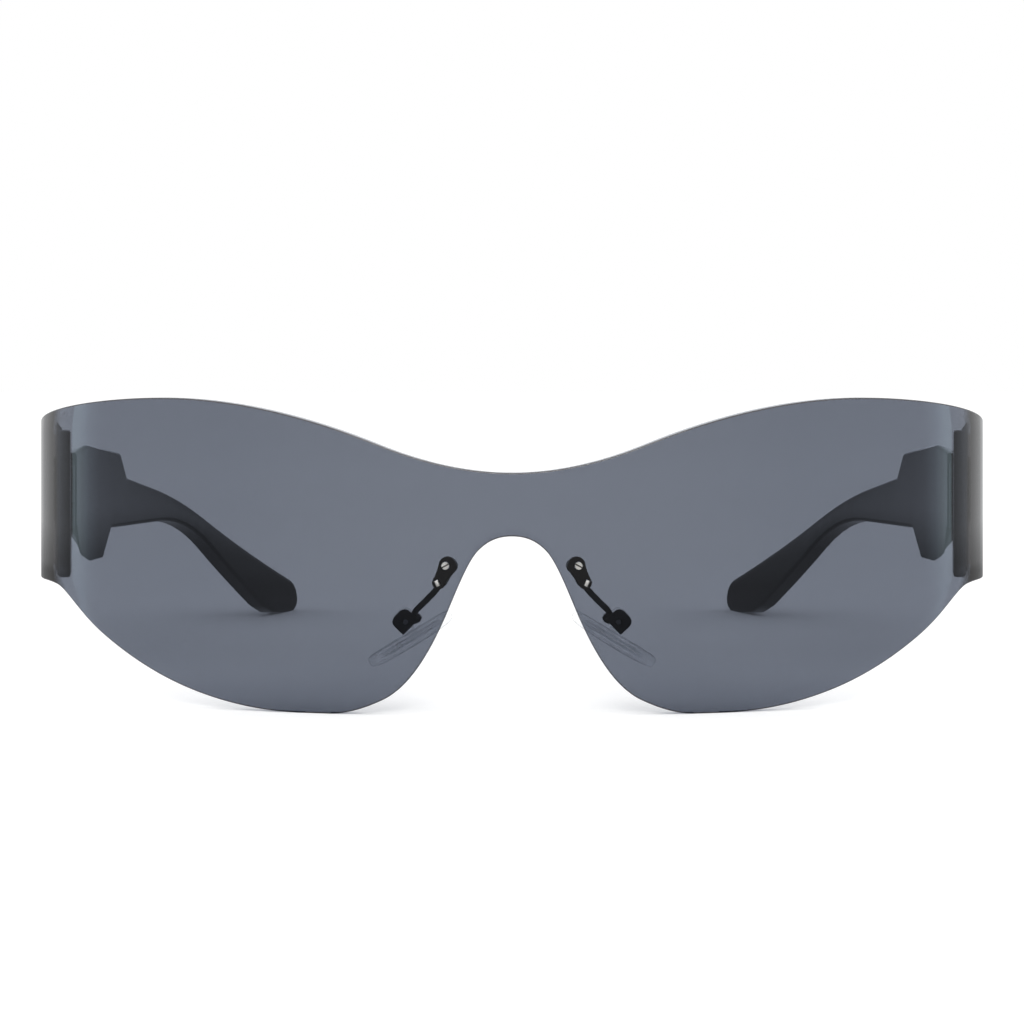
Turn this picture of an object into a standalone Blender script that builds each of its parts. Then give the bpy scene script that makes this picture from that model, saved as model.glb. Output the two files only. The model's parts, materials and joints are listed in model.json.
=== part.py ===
"""Rimless wraparound sunglasses.

One grey shield lens carries a moulded endpiece inside each wing. A five-knuckle hinge joins
each endpiece to its temple, and two small brackets behind the lens hold the nose pads, which
rock on their box screws. The wearer looks towards -Y, +X is the wearer's left, and the
glasses stand on Z = 0 with the origin below the middle of their bounding box.

Sizes are in millimetres and degrees. Left-hand pieces are drawn first, in a drawing frame
whose Y = 0 is the middle of the lens front, and right-hand pieces are their mirror images.
"""
import math

import bmesh
import bpy
from mathutils import Matrix, Vector

MM = 0.001
LEFT, RIGHT = 1, -1
SIDE_NAMES = {LEFT: "left", RIGHT: "right"}

# Clearances
BOND_GAP = 0.15
FIT_GAP = 0.15
PIN_GAP = 0.1
BUTT_GAP = 0.15

# Lens, plan view of its front surface
LENS_THICKNESS = 2.2
FRONT_RADIUS = 140.0
FRONT_HALF_SPAN = 61.5
SIDE_RADIUS = 25.0
WING_TURN = 88.4
LENS_EDGE_BREAK = 0.25
WING_CORNER_RADIUS = 1.6

# Lens, front view: heights over the table, and distances along the front surface
BRIDGE_TOP = 35.55
BROW_RISE_HEIGHT = 39.7
BROW_RISE_AT = 20.0
BROW_RISE_SLOPE = 0.39
BROW_PEAK = 46.45
BROW_PEAK_AT = 54.0
WING_TOP = 43.15
WING_AT = 84.0
WING_TOP_SLOPE = -0.18
NOSE_ARCH_TOP = 26.25
LENS_FOOT_AT = 29.2
LENS_FOOT_RUN = 4.0
WING_BOTTOM = 17.7

# Endpieces: reaches are measured forwards from the hinge axis
LUG_REACH = 6.84
LUG_STEP = 0.6
LUG_NARROWING = 0.9
LUG_HEIGHT = 23.3
LUG_EDGE_RADIUS = 0.35
FLANGE_THICKNESS = 0.8
FLANGE_REACH = 6.24
FLANGE_SHORT = 1.74
FLANGE_SETBACK = 0.5
GLUE_STEP = 0.2
ENDPIECE_INSET = 0.1

# Hinges
BARREL_RADIUS = 1.2
HINGE_PIN_RADIUS = 0.5
KNUCKLE_HEIGHT = 1.95
KNUCKLE_COUNT = 5
HINGE_BOTTOM = 25.1
TANG_THICKNESS = 0.8
FRONT_TANG_INSET = 0.3
TANG_STEP = 0.06
FRONT_TANG_LENGTH = 3.6
TEMPLE_TANG_LENGTH = 8.0
PIN_HEAD_RADIUS = 1.0
PIN_HEAD_HEIGHT = 0.5
PIN_SLOT_WIDTH = 0.3

# Temples, side view: distances behind the hinge axis, and heights over the table
TEMPLE_THICKNESS = 5.0
ARM_THICKNESS = 3.2
TEMPLE_LENGTH = 122.5
TEMPLE_BOW_SLOPE = 0.06
TEMPLE_BOW_DEPTH = 18.0
TEMPLE_EDGE_RADIUS = 0.9
LOBE_LENGTH = 33.1
LOBE_BASE = 18.6
LOBE_HEIGHT = 20.0
LOBE_FRONT_HEIGHT = 10.1
LOBE_FRONT_DROP = 1.3
LOBE_PEAK_AT = 8.65
LOBE_SHOULDER_RUN = 3.7
LOBE_SHOULDER_DROP = 2.3
LOBE_HEEL_RUN = 9.3
LOBE_SOLE_RUN = 14.5
LOBE_SOLE_AT = 10.45
LOBE_CHIN_AT = 3.55
LOBE_CHIN_RISE = 1.5
LOBE_CORNER_RADIUS = 1.2
LOBE_BLEND_RADIUS = 6.0
LOBE_NOTCH_RADIUS = 0.8
LOBE_FRONT_RADIUS = 1.5
ARM_BASE = 23.6
ARM_HEIGHT = 8.3
EAR_BEND_AT = 66.8
ARM_SAG = 0.8
ARM_TOP_FALL = 5.0
ARM_TOP_BEND_AT = 62.5
ARM_LOW_BEND_RADIUS = 60.0
ARM_TOP_BEND_RADIUS = 200.0
TIP_FOOT_AT = 110.0
TIP_FOOT_RADIUS = 22.0
TIP_HEIGHT = 5.6
TIP_END_LEAN = 1.0
TIP_TOP_RADIUS = 5.12
TIP_RADIUS = 3.2

# Nose pad brackets, seen square on to the lens
BRACKET_AT = 9.7
BRACKET_HEIGHT = 22.0
PIN_SPACING = 2.84
PIN_LEAN = 24.8
PLATE_THICKNESS = 0.7
PLATE_WIDE_RADIUS = 1.31
PLATE_NARROW_RADIUS = 0.97
PLATE_WIDE_OFFSET = 0.27
PLATE_NARROW_OFFSET = 0.17
PLATE_LIFT = 0.2
PLATE_WAIST = 0.12
BASE_WIDE_RADIUS = 1.2
BASE_DROP = 0.28
BRACKET_SCREW_RADIUS = 0.54
SCREW_SLOT_WIDTH = 0.22
SCREW_SLOT_DEPTH = 0.2
PEG_WIDTH = 0.48
PEG_HEIGHT = 0.88
STRIP_WIDTH = 0.9
STRIP_DEPTH = 1.6

# Pad boxes
PAD_SCREW_X = 15.9
PAD_SCREW_HEIGHT = 13.0
BOX_FRONT = 7.2
BOX_DEPTH = 3.4
BOX_HALF_WIDTH = 1.6
BOX_ROUND_REACH = 1.72
BOX_ROUND_RADIUS = 1.0
BOX_CORNER_RADIUS = 0.15
BOX_WALL = 0.38
BOX_FLAT_REACH = 1.12
BOX_FLAT_DIP = 44.0
TAB_THICKNESS = 1.1
TAB_RADIUS = 1.05
TAB_NECK_WIDTH = 1.1
PAD_SCREW_RADIUS = 0.36
PAD_SCREW_HEAD_RADIUS = 0.75
PAD_SCREW_HEAD_HEIGHT = 0.5

# Nose pads
PAD_LENGTH = 14.2
PAD_WIDTH = 7.4
PAD_THICKNESS = 1.9
PAD_BACK = 1.85
PAD_SHIFT = 0.75
PAD_LEAN = 31.0
PAD_SPLAY = 0.5
PAD_TAPER = 0.14
PAD_SQUARENESS = 2.6
CORE_LENGTH = 10.0
CORE_WIDTH = 3.8
CORE_THICKNESS = 0.6
CORE_COVER = 0.5

# How finely curves are divided
NOSE_COLUMN = 0.7
LENS_COLUMN = 1.5
CORNER_COLUMNS = 4
ARC_STEP = 18.0
BEND_STEP = 5.0
ROUND_SEGMENTS = 20
PAD_SEGMENTS = 28

# Values worked out from the sizes above
FRONT_TURN = math.asin(FRONT_HALF_SPAN / FRONT_RADIUS)
FRONT_LENGTH = FRONT_RADIUS * FRONT_TURN
WING_END = FRONT_LENGTH + SIDE_RADIUS * (math.radians(WING_TURN) - FRONT_TURN)
SIDE_CENTRE_X = (FRONT_RADIUS - SIDE_RADIUS) * math.sin(FRONT_TURN)
SIDE_CENTRE_Y = FRONT_RADIUS - (FRONT_RADIUS - SIDE_RADIUS) * math.cos(FRONT_TURN)


def turn_at(along):
    """Angle by which the lens has turned from straight ahead, in radians."""
    if along <= FRONT_LENGTH:
        return along / FRONT_RADIUS
    return FRONT_TURN + (along - FRONT_LENGTH) / SIDE_RADIUS


def lens_plan(along, depth=0.0):
    """Plan point at a distance along the front surface from its middle, and a depth behind it."""
    turn = turn_at(abs(along))
    if abs(along) <= FRONT_LENGTH:
        x = (FRONT_RADIUS - depth) * math.sin(turn)
        y = FRONT_RADIUS - (FRONT_RADIUS - depth) * math.cos(turn)
    else:
        x = SIDE_CENTRE_X + (SIDE_RADIUS - depth) * math.sin(turn)
        y = SIDE_CENTRE_Y - (SIDE_RADIUS - depth) * math.cos(turn)
    return math.copysign(x, along), y


def wing_along(y, depth=0.0):
    """Distance along the wing whose point at this depth lies at Y = y."""
    turn = math.acos((SIDE_CENTRE_Y - y) / (SIDE_RADIUS - depth))
    return FRONT_LENGTH + SIDE_RADIUS * (turn - FRONT_TURN)


INNER_DEPTH = LENS_THICKNESS + BOND_GAP
AXIS_Y = lens_plan(WING_END)[1] + BUTT_GAP
TEMPLE_INNER = lens_plan(WING_END)[0] - TEMPLE_THICKNESS
AXIS_X = TEMPLE_INNER + BARREL_RADIUS
LUG_INNER = TEMPLE_INNER - LUG_STEP
HINGE_TOP = HINGE_BOTTOM + KNUCKLE_COUNT * KNUCKLE_HEIGHT + (KNUCKLE_COUNT - 1) * FIT_GAP

SCREW_REACH = PLATE_THICKNESS + 2 * BOND_GAP
REAR_PLATE_DEPTH = LENS_THICKNESS + BOND_GAP
LENS_FRONT_REACH = (
    lens_plan(BRACKET_AT)[1]
    - (PLATE_THICKNESS + BOND_GAP) * math.cos(turn_at(BRACKET_AT))
    - (PLATE_WIDE_RADIUS + PLATE_WIDE_OFFSET) * math.sin(turn_at(BRACKET_AT))
)
CENTRE_Y = (LENS_FRONT_REACH + AXIS_Y + TEMPLE_LENGTH) / 2


def hermite(knots, along):
    """Height of a smooth edge that passes its (along, height, slope) knots."""
    for (a, low, rise_a), (b, high, rise_b) in zip(knots, knots[1:]):
        if along <= b:
            break
    span = b - a
    t = (along - a) / span
    return (
        (2 * t**3 - 3 * t**2 + 1) * low
        + (t**3 - 2 * t**2 + t) * span * rise_a
        + (3 * t**2 - 2 * t**3) * high
        + (t**3 - t**2) * span * rise_b
    )


def corner_drop(along):
    """How far the rounded corner at the end of the wing pulls an edge in."""
    inside = WING_CORNER_RADIUS - (WING_END - abs(along))
    if inside <= 0:
        return 0.0
    return WING_CORNER_RADIUS - math.sqrt(max(WING_CORNER_RADIUS**2 - inside**2, 0.0))


def lens_top(along):
    beyond = WING_END - WING_AT
    knots = (
        (0.0, BRIDGE_TOP, 0.0),
        (BROW_RISE_AT, BROW_RISE_HEIGHT, BROW_RISE_SLOPE),
        (BROW_PEAK_AT, BROW_PEAK, 0.0),
        (WING_AT, WING_TOP, WING_TOP_SLOPE),
        (WING_END, WING_TOP + beyond * WING_TOP_SLOPE, WING_TOP_SLOPE),
    )
    return hermite(knots, abs(along)) - corner_drop(along)


def lens_bottom(along):
    """The nose arch, the flat foot that the lens stands on, and the sweep up to the wing."""
    foot_in = LENS_FOOT_AT - LENS_FOOT_RUN / 2
    foot_out = LENS_FOOT_AT + LENS_FOOT_RUN / 2
    knots = (
        (0.0, NOSE_ARCH_TOP, 0.0),
        (0.17 * LENS_FOOT_AT, 0.92 * NOSE_ARCH_TOP, -1.03),
        (0.325 * LENS_FOOT_AT, 0.583 * NOSE_ARCH_TOP, -2.35),
        (0.65 * LENS_FOOT_AT, 0.084 * NOSE_ARCH_TOP, -0.48),
        (foot_in, 0.0, 0.0),
        (foot_out, 0.0, 0.0),
        (50.0, 0.178 * WING_BOTTOM, 0.34),
        (68.0, 0.729 * WING_BOTTOM, 0.74),
        (76.0, 0.986 * WING_BOTTOM, 0.13),
        (WING_AT, WING_BOTTOM, 0.0),
        (WING_END, WING_BOTTOM, 0.0),
    )
    return hermite(knots, abs(along)) + corner_drop(along)


def loft(bm, rings):
    """Closed skin through rings of as many points each, with flat ends."""
    loops = [[bm.verts.new(point) for point in ring] for ring in rings]
    for near, far in zip(loops, loops[1:]):
        for i, vert in enumerate(near):
            j = (i + 1) % len(near)
            bm.faces.new((vert, near[j], far[j], far[i]))
    return bm.faces.new(reversed(loops[0])), bm.faces.new(loops[-1])


def prism(bm, outline, low, high):
    """Upright prism over a plan outline."""
    loft(bm, [[(x, y, z) for x, y in outline] for z in (low, high)])


def cylinder(bm, radius, low, high, matrix=Matrix()):
    """Cylinder along the local Z of the matrix, from low to high."""
    shift = Matrix.Translation((0, 0, (low + high) / 2))
    bmesh.ops.create_cone(
        bm,
        cap_ends=True,
        segments=ROUND_SEGMENTS,
        radius1=radius,
        radius2=radius,
        depth=high - low,
        matrix=matrix @ shift,
    )


def block(bm, low, high, matrix=Matrix()):
    """Box between two corners of the matrix's own frame."""
    size = Vector(high) - Vector(low)
    middle = (Vector(high) + Vector(low)) / 2
    scale = Matrix.Diagonal(size.to_4d())
    scale[3][3] = 1.0
    bmesh.ops.create_cube(bm, size=1.0, matrix=matrix @ Matrix.Translation(middle) @ scale)


def arc(centre, radius, start, end, steps):
    """Points on an arc, angles in degrees."""
    points = []
    for i in range(steps + 1):
        angle = math.radians(start + (end - start) * i / steps)
        points.append((centre[0] + radius * math.cos(angle), centre[1] + radius * math.sin(angle)))
    return points


def rounded_outline(corners):
    """Outline through (x, y, radius) corners, each one rounded with an arc."""
    outline = []
    for i, (x, y, radius) in enumerate(corners):
        corner = Vector((x, y))
        before = Vector(corners[i - 1][:2]) - corner
        after = Vector(corners[(i + 1) % len(corners)][:2]) - corner
        half = before.angle(after) / 2
        tangent = min(radius / math.tan(half), 0.49 * min(before.length, after.length))
        radius = tangent * math.tan(half)
        middle = corner + (before.normalized() + after.normalized()).normalized() * radius / math.sin(half)
        start = corner + before.normalized() * tangent - middle
        sweep = (corner + after.normalized() * tangent - middle).angle_signed(start)
        length = abs(sweep) * radius
        steps = max(2, round(abs(math.degrees(sweep)) / ARC_STEP), round(length / BEND_STEP))
        for k in range(steps + 1):
            spoke = start.copy()
            spoke.rotate(Matrix.Rotation(sweep * k / steps, 2))
            outline.append(tuple(middle + spoke))
    return outline


def round_edges(bm, radius, segments=1, angle=35.0):
    """Bevel every edge that turns by more than the angle, and leave only flat faces."""
    bmesh.ops.recalc_face_normals(bm, faces=bm.faces)
    edges = [e for e in bm.edges if len(e.link_faces) == 2 and e.calc_face_angle() > math.radians(angle)]
    bmesh.ops.bevel(
        bm, geom=edges, offset=radius, segments=segments, profile=0.5, affect="EDGES", clamp_overlap=True
    )
    bmesh.ops.triangulate(bm, faces=bm.faces)


def make_material(name, colour, roughness, metallic=0.0, alpha=1.0):
    material = bpy.data.materials.new(name)
    material.use_nodes = True
    shader = material.node_tree.nodes["Principled BSDF"]
    shader.inputs["Base Color"].default_value = (*colour, 1.0)
    shader.inputs["Roughness"].default_value = roughness
    shader.inputs["Metallic"].default_value = metallic
    shader.inputs["Alpha"].default_value = alpha
    return material


def place(name, bm, side, parent=None, material=None, helper=False):
    """Turn a left-hand drawing in millimetres into an object of either side, in metres."""
    bmesh.ops.recalc_face_normals(bm, faces=bm.faces)
    if side == RIGHT:
        bmesh.ops.scale(bm, vec=(-1, 1, 1), verts=bm.verts)
        bmesh.ops.reverse_faces(bm, faces=bm.faces)
    origin = parent.location if parent else Vector((0, 0, 0))
    bmesh.ops.translate(bm, vec=(0, -CENTRE_Y, 0), verts=bm.verts)
    bmesh.ops.scale(bm, vec=(MM, MM, MM), verts=bm.verts)
    bmesh.ops.translate(bm, vec=-origin, verts=bm.verts)
    mesh = bpy.data.meshes.new(name)
    bm.to_mesh(mesh)
    bm.free()
    mesh.shade_smooth()
    mesh.set_sharp_from_angle(angle=math.radians(30))
    obj = bpy.data.objects.new(name, mesh)
    obj.parent = parent
    bpy.context.scene.collection.objects.link(obj)
    if material:
        mesh.materials.append(material)
    if helper:
        obj.hide_render = True
        obj.display_type = "WIRE"
    return obj


def combine(obj, other, operation):
    modifier = obj.modifiers.new(other.name, "BOOLEAN")
    modifier.operation = operation
    modifier.solver = "EXACT"
    modifier.object = other


def axis_empty(name, side, x, y, z):
    """Empty on a joint's axis, which carries the pieces that move."""
    empty = bpy.data.objects.new(name, None)
    empty.empty_display_size = 3 * MM
    empty.location = (side * x * MM, (y - CENTRE_Y) * MM, z * MM)
    bpy.context.scene.collection.objects.link(empty)
    return empty


# Lens

def lens_columns():
    """Where the lens is divided: close columns at the nose and at the wing's round corner."""
    nose_end = LENS_FOOT_AT - LENS_FOOT_RUN / 2
    foot_end = LENS_FOOT_AT + LENS_FOOT_RUN / 2
    corner = WING_END - WING_CORNER_RADIUS
    nose_steps = round(nose_end / NOSE_COLUMN)
    wing_steps = round((corner - foot_end) / LENS_COLUMN)
    columns = [nose_end * i / nose_steps for i in range(nose_steps + 1)]
    columns += [foot_end + (corner - foot_end) * i / wing_steps for i in range(wing_steps + 1)]
    for i in range(1, CORNER_COLUMNS + 1):
        columns.append(corner + WING_CORNER_RADIUS * math.sin(math.pi / 2 * i / CORNER_COLUMNS))
    return [-along for along in reversed(columns[1:])] + columns


def lens_ring(along):
    """Upright section of the lens, with its broken edges."""
    top = lens_top(along)
    bottom = lens_bottom(along)
    edge = LENS_EDGE_BREAK
    back = LENS_THICKNESS
    section = (
        (0, bottom + edge),
        (0, top - edge),
        (edge, top),
        (back - edge, top),
        (back, top - edge),
        (back, bottom + edge),
        (back - edge, bottom),
        (edge, bottom),
    )
    return [(*lens_plan(along, depth), z) for depth, z in section]


def lens_frame(along, height):
    """Frame on the front surface: X outwards along it, Y into the lens, Z up."""
    turn = turn_at(along)
    x, y = lens_plan(along)
    return Matrix.Translation((x, y, height)) @ Matrix.Rotation(turn, 4, "Z")


def peg_place():
    """Where the peg stands from the screw, in the lens frame at the screw."""
    lean = math.radians(PIN_LEAN)
    return PIN_SPACING * math.sin(lean), -PIN_SPACING * math.cos(lean)


def bracket_frame():
    return lens_frame(BRACKET_AT, BRACKET_HEIGHT)


def peg_frame():
    x, z = peg_place()
    return bracket_frame() @ Matrix.Translation((x, 0, z)) @ Matrix.Rotation(math.radians(PIN_LEAN), 4, "Y")


TO_DEPTH = Matrix.Rotation(math.radians(-90), 4, "X")


def bracket_holes(bm, clearance, front, back):
    """The round and the square hole that both pins share, from a front depth to a back depth."""
    radius = BRACKET_SCREW_RADIUS + clearance
    cylinder(bm, radius, front, back, bracket_frame() @ TO_DEPTH)
    width = PEG_WIDTH / 2 + clearance
    height = PEG_HEIGHT / 2 + clearance
    block(bm, (-width, front, -height), (width, back, height), peg_frame())


def make_lens(material):
    bm = bmesh.new()
    loft(bm, [lens_ring(along) for along in lens_columns()])
    lens = place("shield_lens", bm, LEFT, material=material)
    for side in SIDE_NAMES:
        bm = bmesh.new()
        bracket_holes(bm, PIN_GAP, -1.0, LENS_THICKNESS + 1.0)
        holes = place(f"{SIDE_NAMES[side]}_lens_holes", bm, side, helper=True)
        combine(lens, holes, "DIFFERENCE")
    return lens


# Endpieces

def inner_face(start, end, depth):
    """Plan points along the inside of the wing."""
    steps = max(2, round((end - start) / LENS_COLUMN))
    return [lens_plan(start + (end - start) * i / steps, depth) for i in range(steps + 1)]


def relief_outline(reach):
    """Plan of the room round the barrels: half round inside, square towards the lens."""
    radius = BARREL_RADIUS + FIT_GAP
    outline = arc((AXIS_X, AXIS_Y), radius, 90, 270, ROUND_SEGMENTS // 2)
    return outline + [(AXIS_X + reach, AXIS_Y - radius), (AXIS_X + reach, AXIS_Y + radius)]


def pin_head_room():
    return HINGE_TOP + FIT_GAP + PIN_HEAD_HEIGHT + FIT_GAP


def make_endpiece(side, material):
    name = SIDE_NAMES[side]
    low = WING_BOTTOM + ENDPIECE_INSET
    butt = AXIS_Y - BUTT_GAP
    lug_depth = INNER_DEPTH + GLUE_STEP
    end = wing_along(butt, lug_depth)
    lug_back = LUG_INNER + LUG_NARROWING
    notch = AXIS_Y - BUTT_GAP * math.sqrt(2) - (AXIS_X - lug_back)
    lug_front = AXIS_Y - LUG_REACH
    outline = inner_face(wing_along(lug_front, lug_depth), end, lug_depth)
    outline += [(AXIS_X, butt), (lug_back, notch), (LUG_INNER, lug_front)]
    bm = bmesh.new()
    prism(bm, outline, low, low + LUG_HEIGHT)
    round_edges(bm, LUG_EDGE_RADIUS, 2)
    endpiece = place(f"{name}_endpiece", bm, side, material=material)

    bm = bmesh.new()
    prism(bm, relief_outline(SIDE_RADIUS / 4), HINGE_BOTTOM - FIT_GAP, pin_head_room())
    room = place(f"{name}_endpiece_room", bm, side, helper=True)
    combine(endpiece, room, "DIFFERENCE")

    bm = bmesh.new()
    front_tang(bm, FIT_GAP)
    pocket = place(f"{name}_endpiece_pocket", bm, side, helper=True)
    combine(endpiece, pocket, "DIFFERENCE")

    start = wing_along(AXIS_Y - FLANGE_REACH, INNER_DEPTH)
    flange_end = wing_along(AXIS_Y - FLANGE_SHORT, INNER_DEPTH)
    steps = max(2, round((flange_end - start) / LENS_COLUMN))
    bm = bmesh.new()
    rings = []
    for i in range(steps + 1):
        along = start + (flange_end - start) * i / steps
        high = lens_top(along) - LENS_EDGE_BREAK - FLANGE_SETBACK
        front = lens_plan(along, INNER_DEPTH)
        back = lens_plan(along, INNER_DEPTH + FLANGE_THICKNESS)
        rings.append([(*front, low + 1), (*front, high), (*back, high), (*back, low + 1)])
    loft(bm, rings)
    flange = place(f"{name}_endpiece_flange", bm, side, helper=True)
    combine(endpiece, flange, "UNION")
    return endpiece


# Hinges

def knuckle_span(index):
    low = HINGE_BOTTOM + index * (KNUCKLE_HEIGHT + FIT_GAP)
    return low, low + KNUCKLE_HEIGHT


def front_tang(bm, grown=0.0):
    """Flat tang in the endpiece, clear of the turning knuckles.

    Its channel is grown by a clearance, opens into the room round the barrels, and is open
    on the inner face of the endpiece.
    """
    inner = AXIS_X - BARREL_RADIUS + FRONT_TANG_INSET
    near = AXIS_Y - BARREL_RADIUS - FIT_GAP
    mouth = near + BARREL_RADIUS if grown else near
    side_mouth = AXIS_X - inner + LUG_STEP if grown else 0
    block(
        bm,
        (inner - grown - side_mouth, near - FRONT_TANG_LENGTH - grown, HINGE_BOTTOM + TANG_STEP - grown),
        (inner + TANG_THICKNESS + grown, mouth, HINGE_TOP - TANG_STEP + grown),
    )


def temple_tang(bm, grown=0.0):
    """Flat tang in the temple, as tall as the two temple knuckles and the one between them."""
    near = AXIS_Y + BARREL_RADIUS + FIT_GAP
    half = TANG_THICKNESS / 2
    low = knuckle_span(1)[0] + TANG_STEP
    high = knuckle_span(KNUCKLE_COUNT - 2)[1] - TANG_STEP
    block(
        bm,
        (AXIS_X - half - grown, near - grown, low - grown),
        (AXIS_X + half + grown, near + TEMPLE_TANG_LENGTH + grown, high + grown),
    )


def knuckle(bm, index, towards):
    """One barrel with the web that runs from it to its tang: towards is -1 to the front, 1 to the temple."""
    low, high = knuckle_span(index)
    if towards < 0:
        inner = AXIS_X - BARREL_RADIUS + FRONT_TANG_INSET + TANG_STEP
        outer = inner + TANG_THICKNESS - 2 * TANG_STEP
        far = AXIS_Y - BARREL_RADIUS - FIT_GAP - TANG_THICKNESS / 2
        inner_end = 180 + math.degrees(math.acos((AXIS_X - inner) / BARREL_RADIUS))
        outer_end = -90 - math.degrees(math.asin((AXIS_X - outer) / BARREL_RADIUS))
        outline = arc((AXIS_X, AXIS_Y), BARREL_RADIUS, inner_end, outer_end, ROUND_SEGMENTS)
        outline += [(outer, far), (inner, far)]
    else:
        half = TANG_THICKNESS / 2 - TANG_STEP
        far = AXIS_Y + BARREL_RADIUS + FIT_GAP + TANG_THICKNESS / 2
        opening = math.degrees(math.asin(half / BARREL_RADIUS))
        outline = arc((AXIS_X, AXIS_Y), BARREL_RADIUS, 90 - opening, -270 + opening, ROUND_SEGMENTS)
        outline += [(AXIS_X - half, far), (AXIS_X + half, far)]
    prism(bm, outline, low, high)


def make_leaf(side, name, tang, indexes, towards, material, parent=None):
    bm = bmesh.new()
    tang(bm)
    leaf = place(name, bm, side, parent=parent, material=material)
    bm = bmesh.new()
    for index in indexes:
        knuckle(bm, index, towards)
    knuckles = place(f"{name}_knuckles", bm, side, parent=parent, helper=True)
    combine(leaf, knuckles, "UNION")
    bm = bmesh.new()
    hinge = Matrix.Translation((AXIS_X, AXIS_Y, 0))
    cylinder(bm, HINGE_PIN_RADIUS + PIN_GAP, HINGE_BOTTOM - 1, HINGE_TOP + 1, hinge)
    bore = place(f"{name}_bore", bm, side, parent=parent, helper=True)
    combine(leaf, bore, "DIFFERENCE")
    return leaf


def make_hinge_screw(side, material):
    name = f"{SIDE_NAMES[side]}_hinge_screw"
    hinge = Matrix.Translation((AXIS_X, AXIS_Y, 0))
    head = HINGE_TOP + FIT_GAP
    outline = [
        (0.0, HINGE_BOTTOM),
        (HINGE_PIN_RADIUS, HINGE_BOTTOM),
        (HINGE_PIN_RADIUS, head),
        (PIN_HEAD_RADIUS, head),
        (PIN_HEAD_RADIUS, head + PIN_HEAD_HEIGHT),
        (0.0, head + PIN_HEAD_HEIGHT),
    ]
    screw = place(name, revolved(outline, hinge), side, material=material)
    bm = bmesh.new()
    half = PIN_SLOT_WIDTH / 2
    wide = PIN_HEAD_RADIUS * 2
    top = head + PIN_HEAD_HEIGHT
    block(bm, (-wide, -half, top - PIN_SLOT_WIDTH), (wide, half, top + 1), hinge)
    slot = place(f"{name}_slot", bm, side, helper=True)
    combine(screw, slot, "DIFFERENCE")
    return screw


def revolved(profile, matrix):
    """Round solid from an (r, z) profile that starts and ends on the axis."""
    bm = bmesh.new()
    verts = [bm.verts.new(matrix @ Vector((r, 0, z))) for r, z in profile]
    edges = [bm.edges.new(pair) for pair in zip(verts, verts[1:])]
    bmesh.ops.spin(
        bm,
        geom=verts + edges,
        cent=matrix.translation,
        axis=matrix.col[2].to_3d(),
        angle=2 * math.pi,
        steps=ROUND_SEGMENTS,
        use_merge=True,
    )
    bmesh.ops.remove_doubles(bm, verts=bm.verts, dist=0.001)
    return bm


# Temples

def temple_outline():
    """Side view of a temple as (distance behind the axis, height), clockwise from its front top."""
    front = BUTT_GAP
    lobe_top = LOBE_BASE + LOBE_HEIGHT
    front_top = lobe_top - LOBE_FRONT_DROP
    arm_top = ARM_BASE + ARM_HEIGHT
    return rounded_outline([
        (front, front_top, LOBE_CORNER_RADIUS),
        (LOBE_PEAK_AT, lobe_top, LOBE_BLEND_RADIUS),
        (LOBE_LENGTH - LOBE_SHOULDER_RUN, lobe_top - LOBE_SHOULDER_DROP, LOBE_CORNER_RADIUS),
        (LOBE_LENGTH, arm_top, LOBE_NOTCH_RADIUS),
        (ARM_TOP_BEND_AT, arm_top - ARM_TOP_FALL, ARM_TOP_BEND_RADIUS),
        (TEMPLE_LENGTH - TIP_END_LEAN, TIP_HEIGHT, TIP_TOP_RADIUS),
        (TEMPLE_LENGTH, 0.0, TIP_RADIUS),
        (TIP_FOOT_AT, 0.0, TIP_FOOT_RADIUS),
        (EAR_BEND_AT, ARM_BASE - ARM_SAG, ARM_LOW_BEND_RADIUS),
        (LOBE_LENGTH - LOBE_HEEL_RUN, ARM_BASE, LOBE_NOTCH_RADIUS),
        (LOBE_LENGTH - LOBE_SOLE_RUN, LOBE_BASE, LOBE_CORNER_RADIUS),
        (LOBE_SOLE_AT, LOBE_BASE, LOBE_BLEND_RADIUS),
        (LOBE_CHIN_AT, LOBE_BASE + LOBE_CHIN_RISE, LOBE_CORNER_RADIUS),
        (front, front_top - LOBE_FRONT_HEIGHT, LOBE_FRONT_RADIUS),
    ])


def temple_inner(back):
    """X of a temple's inner face at a distance behind the hinge axis."""
    return TEMPLE_INNER - TEMPLE_BOW_SLOPE * back - TEMPLE_BOW_DEPTH * (back / TEMPLE_LENGTH) ** 2


def temple_thickness(back):
    share = min(max(back / EAR_BEND_AT, 0.0), 1.0)
    share = share * share * (3 - 2 * share)
    return TEMPLE_THICKNESS + (ARM_THICKNESS - TEMPLE_THICKNESS) * share


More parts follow.
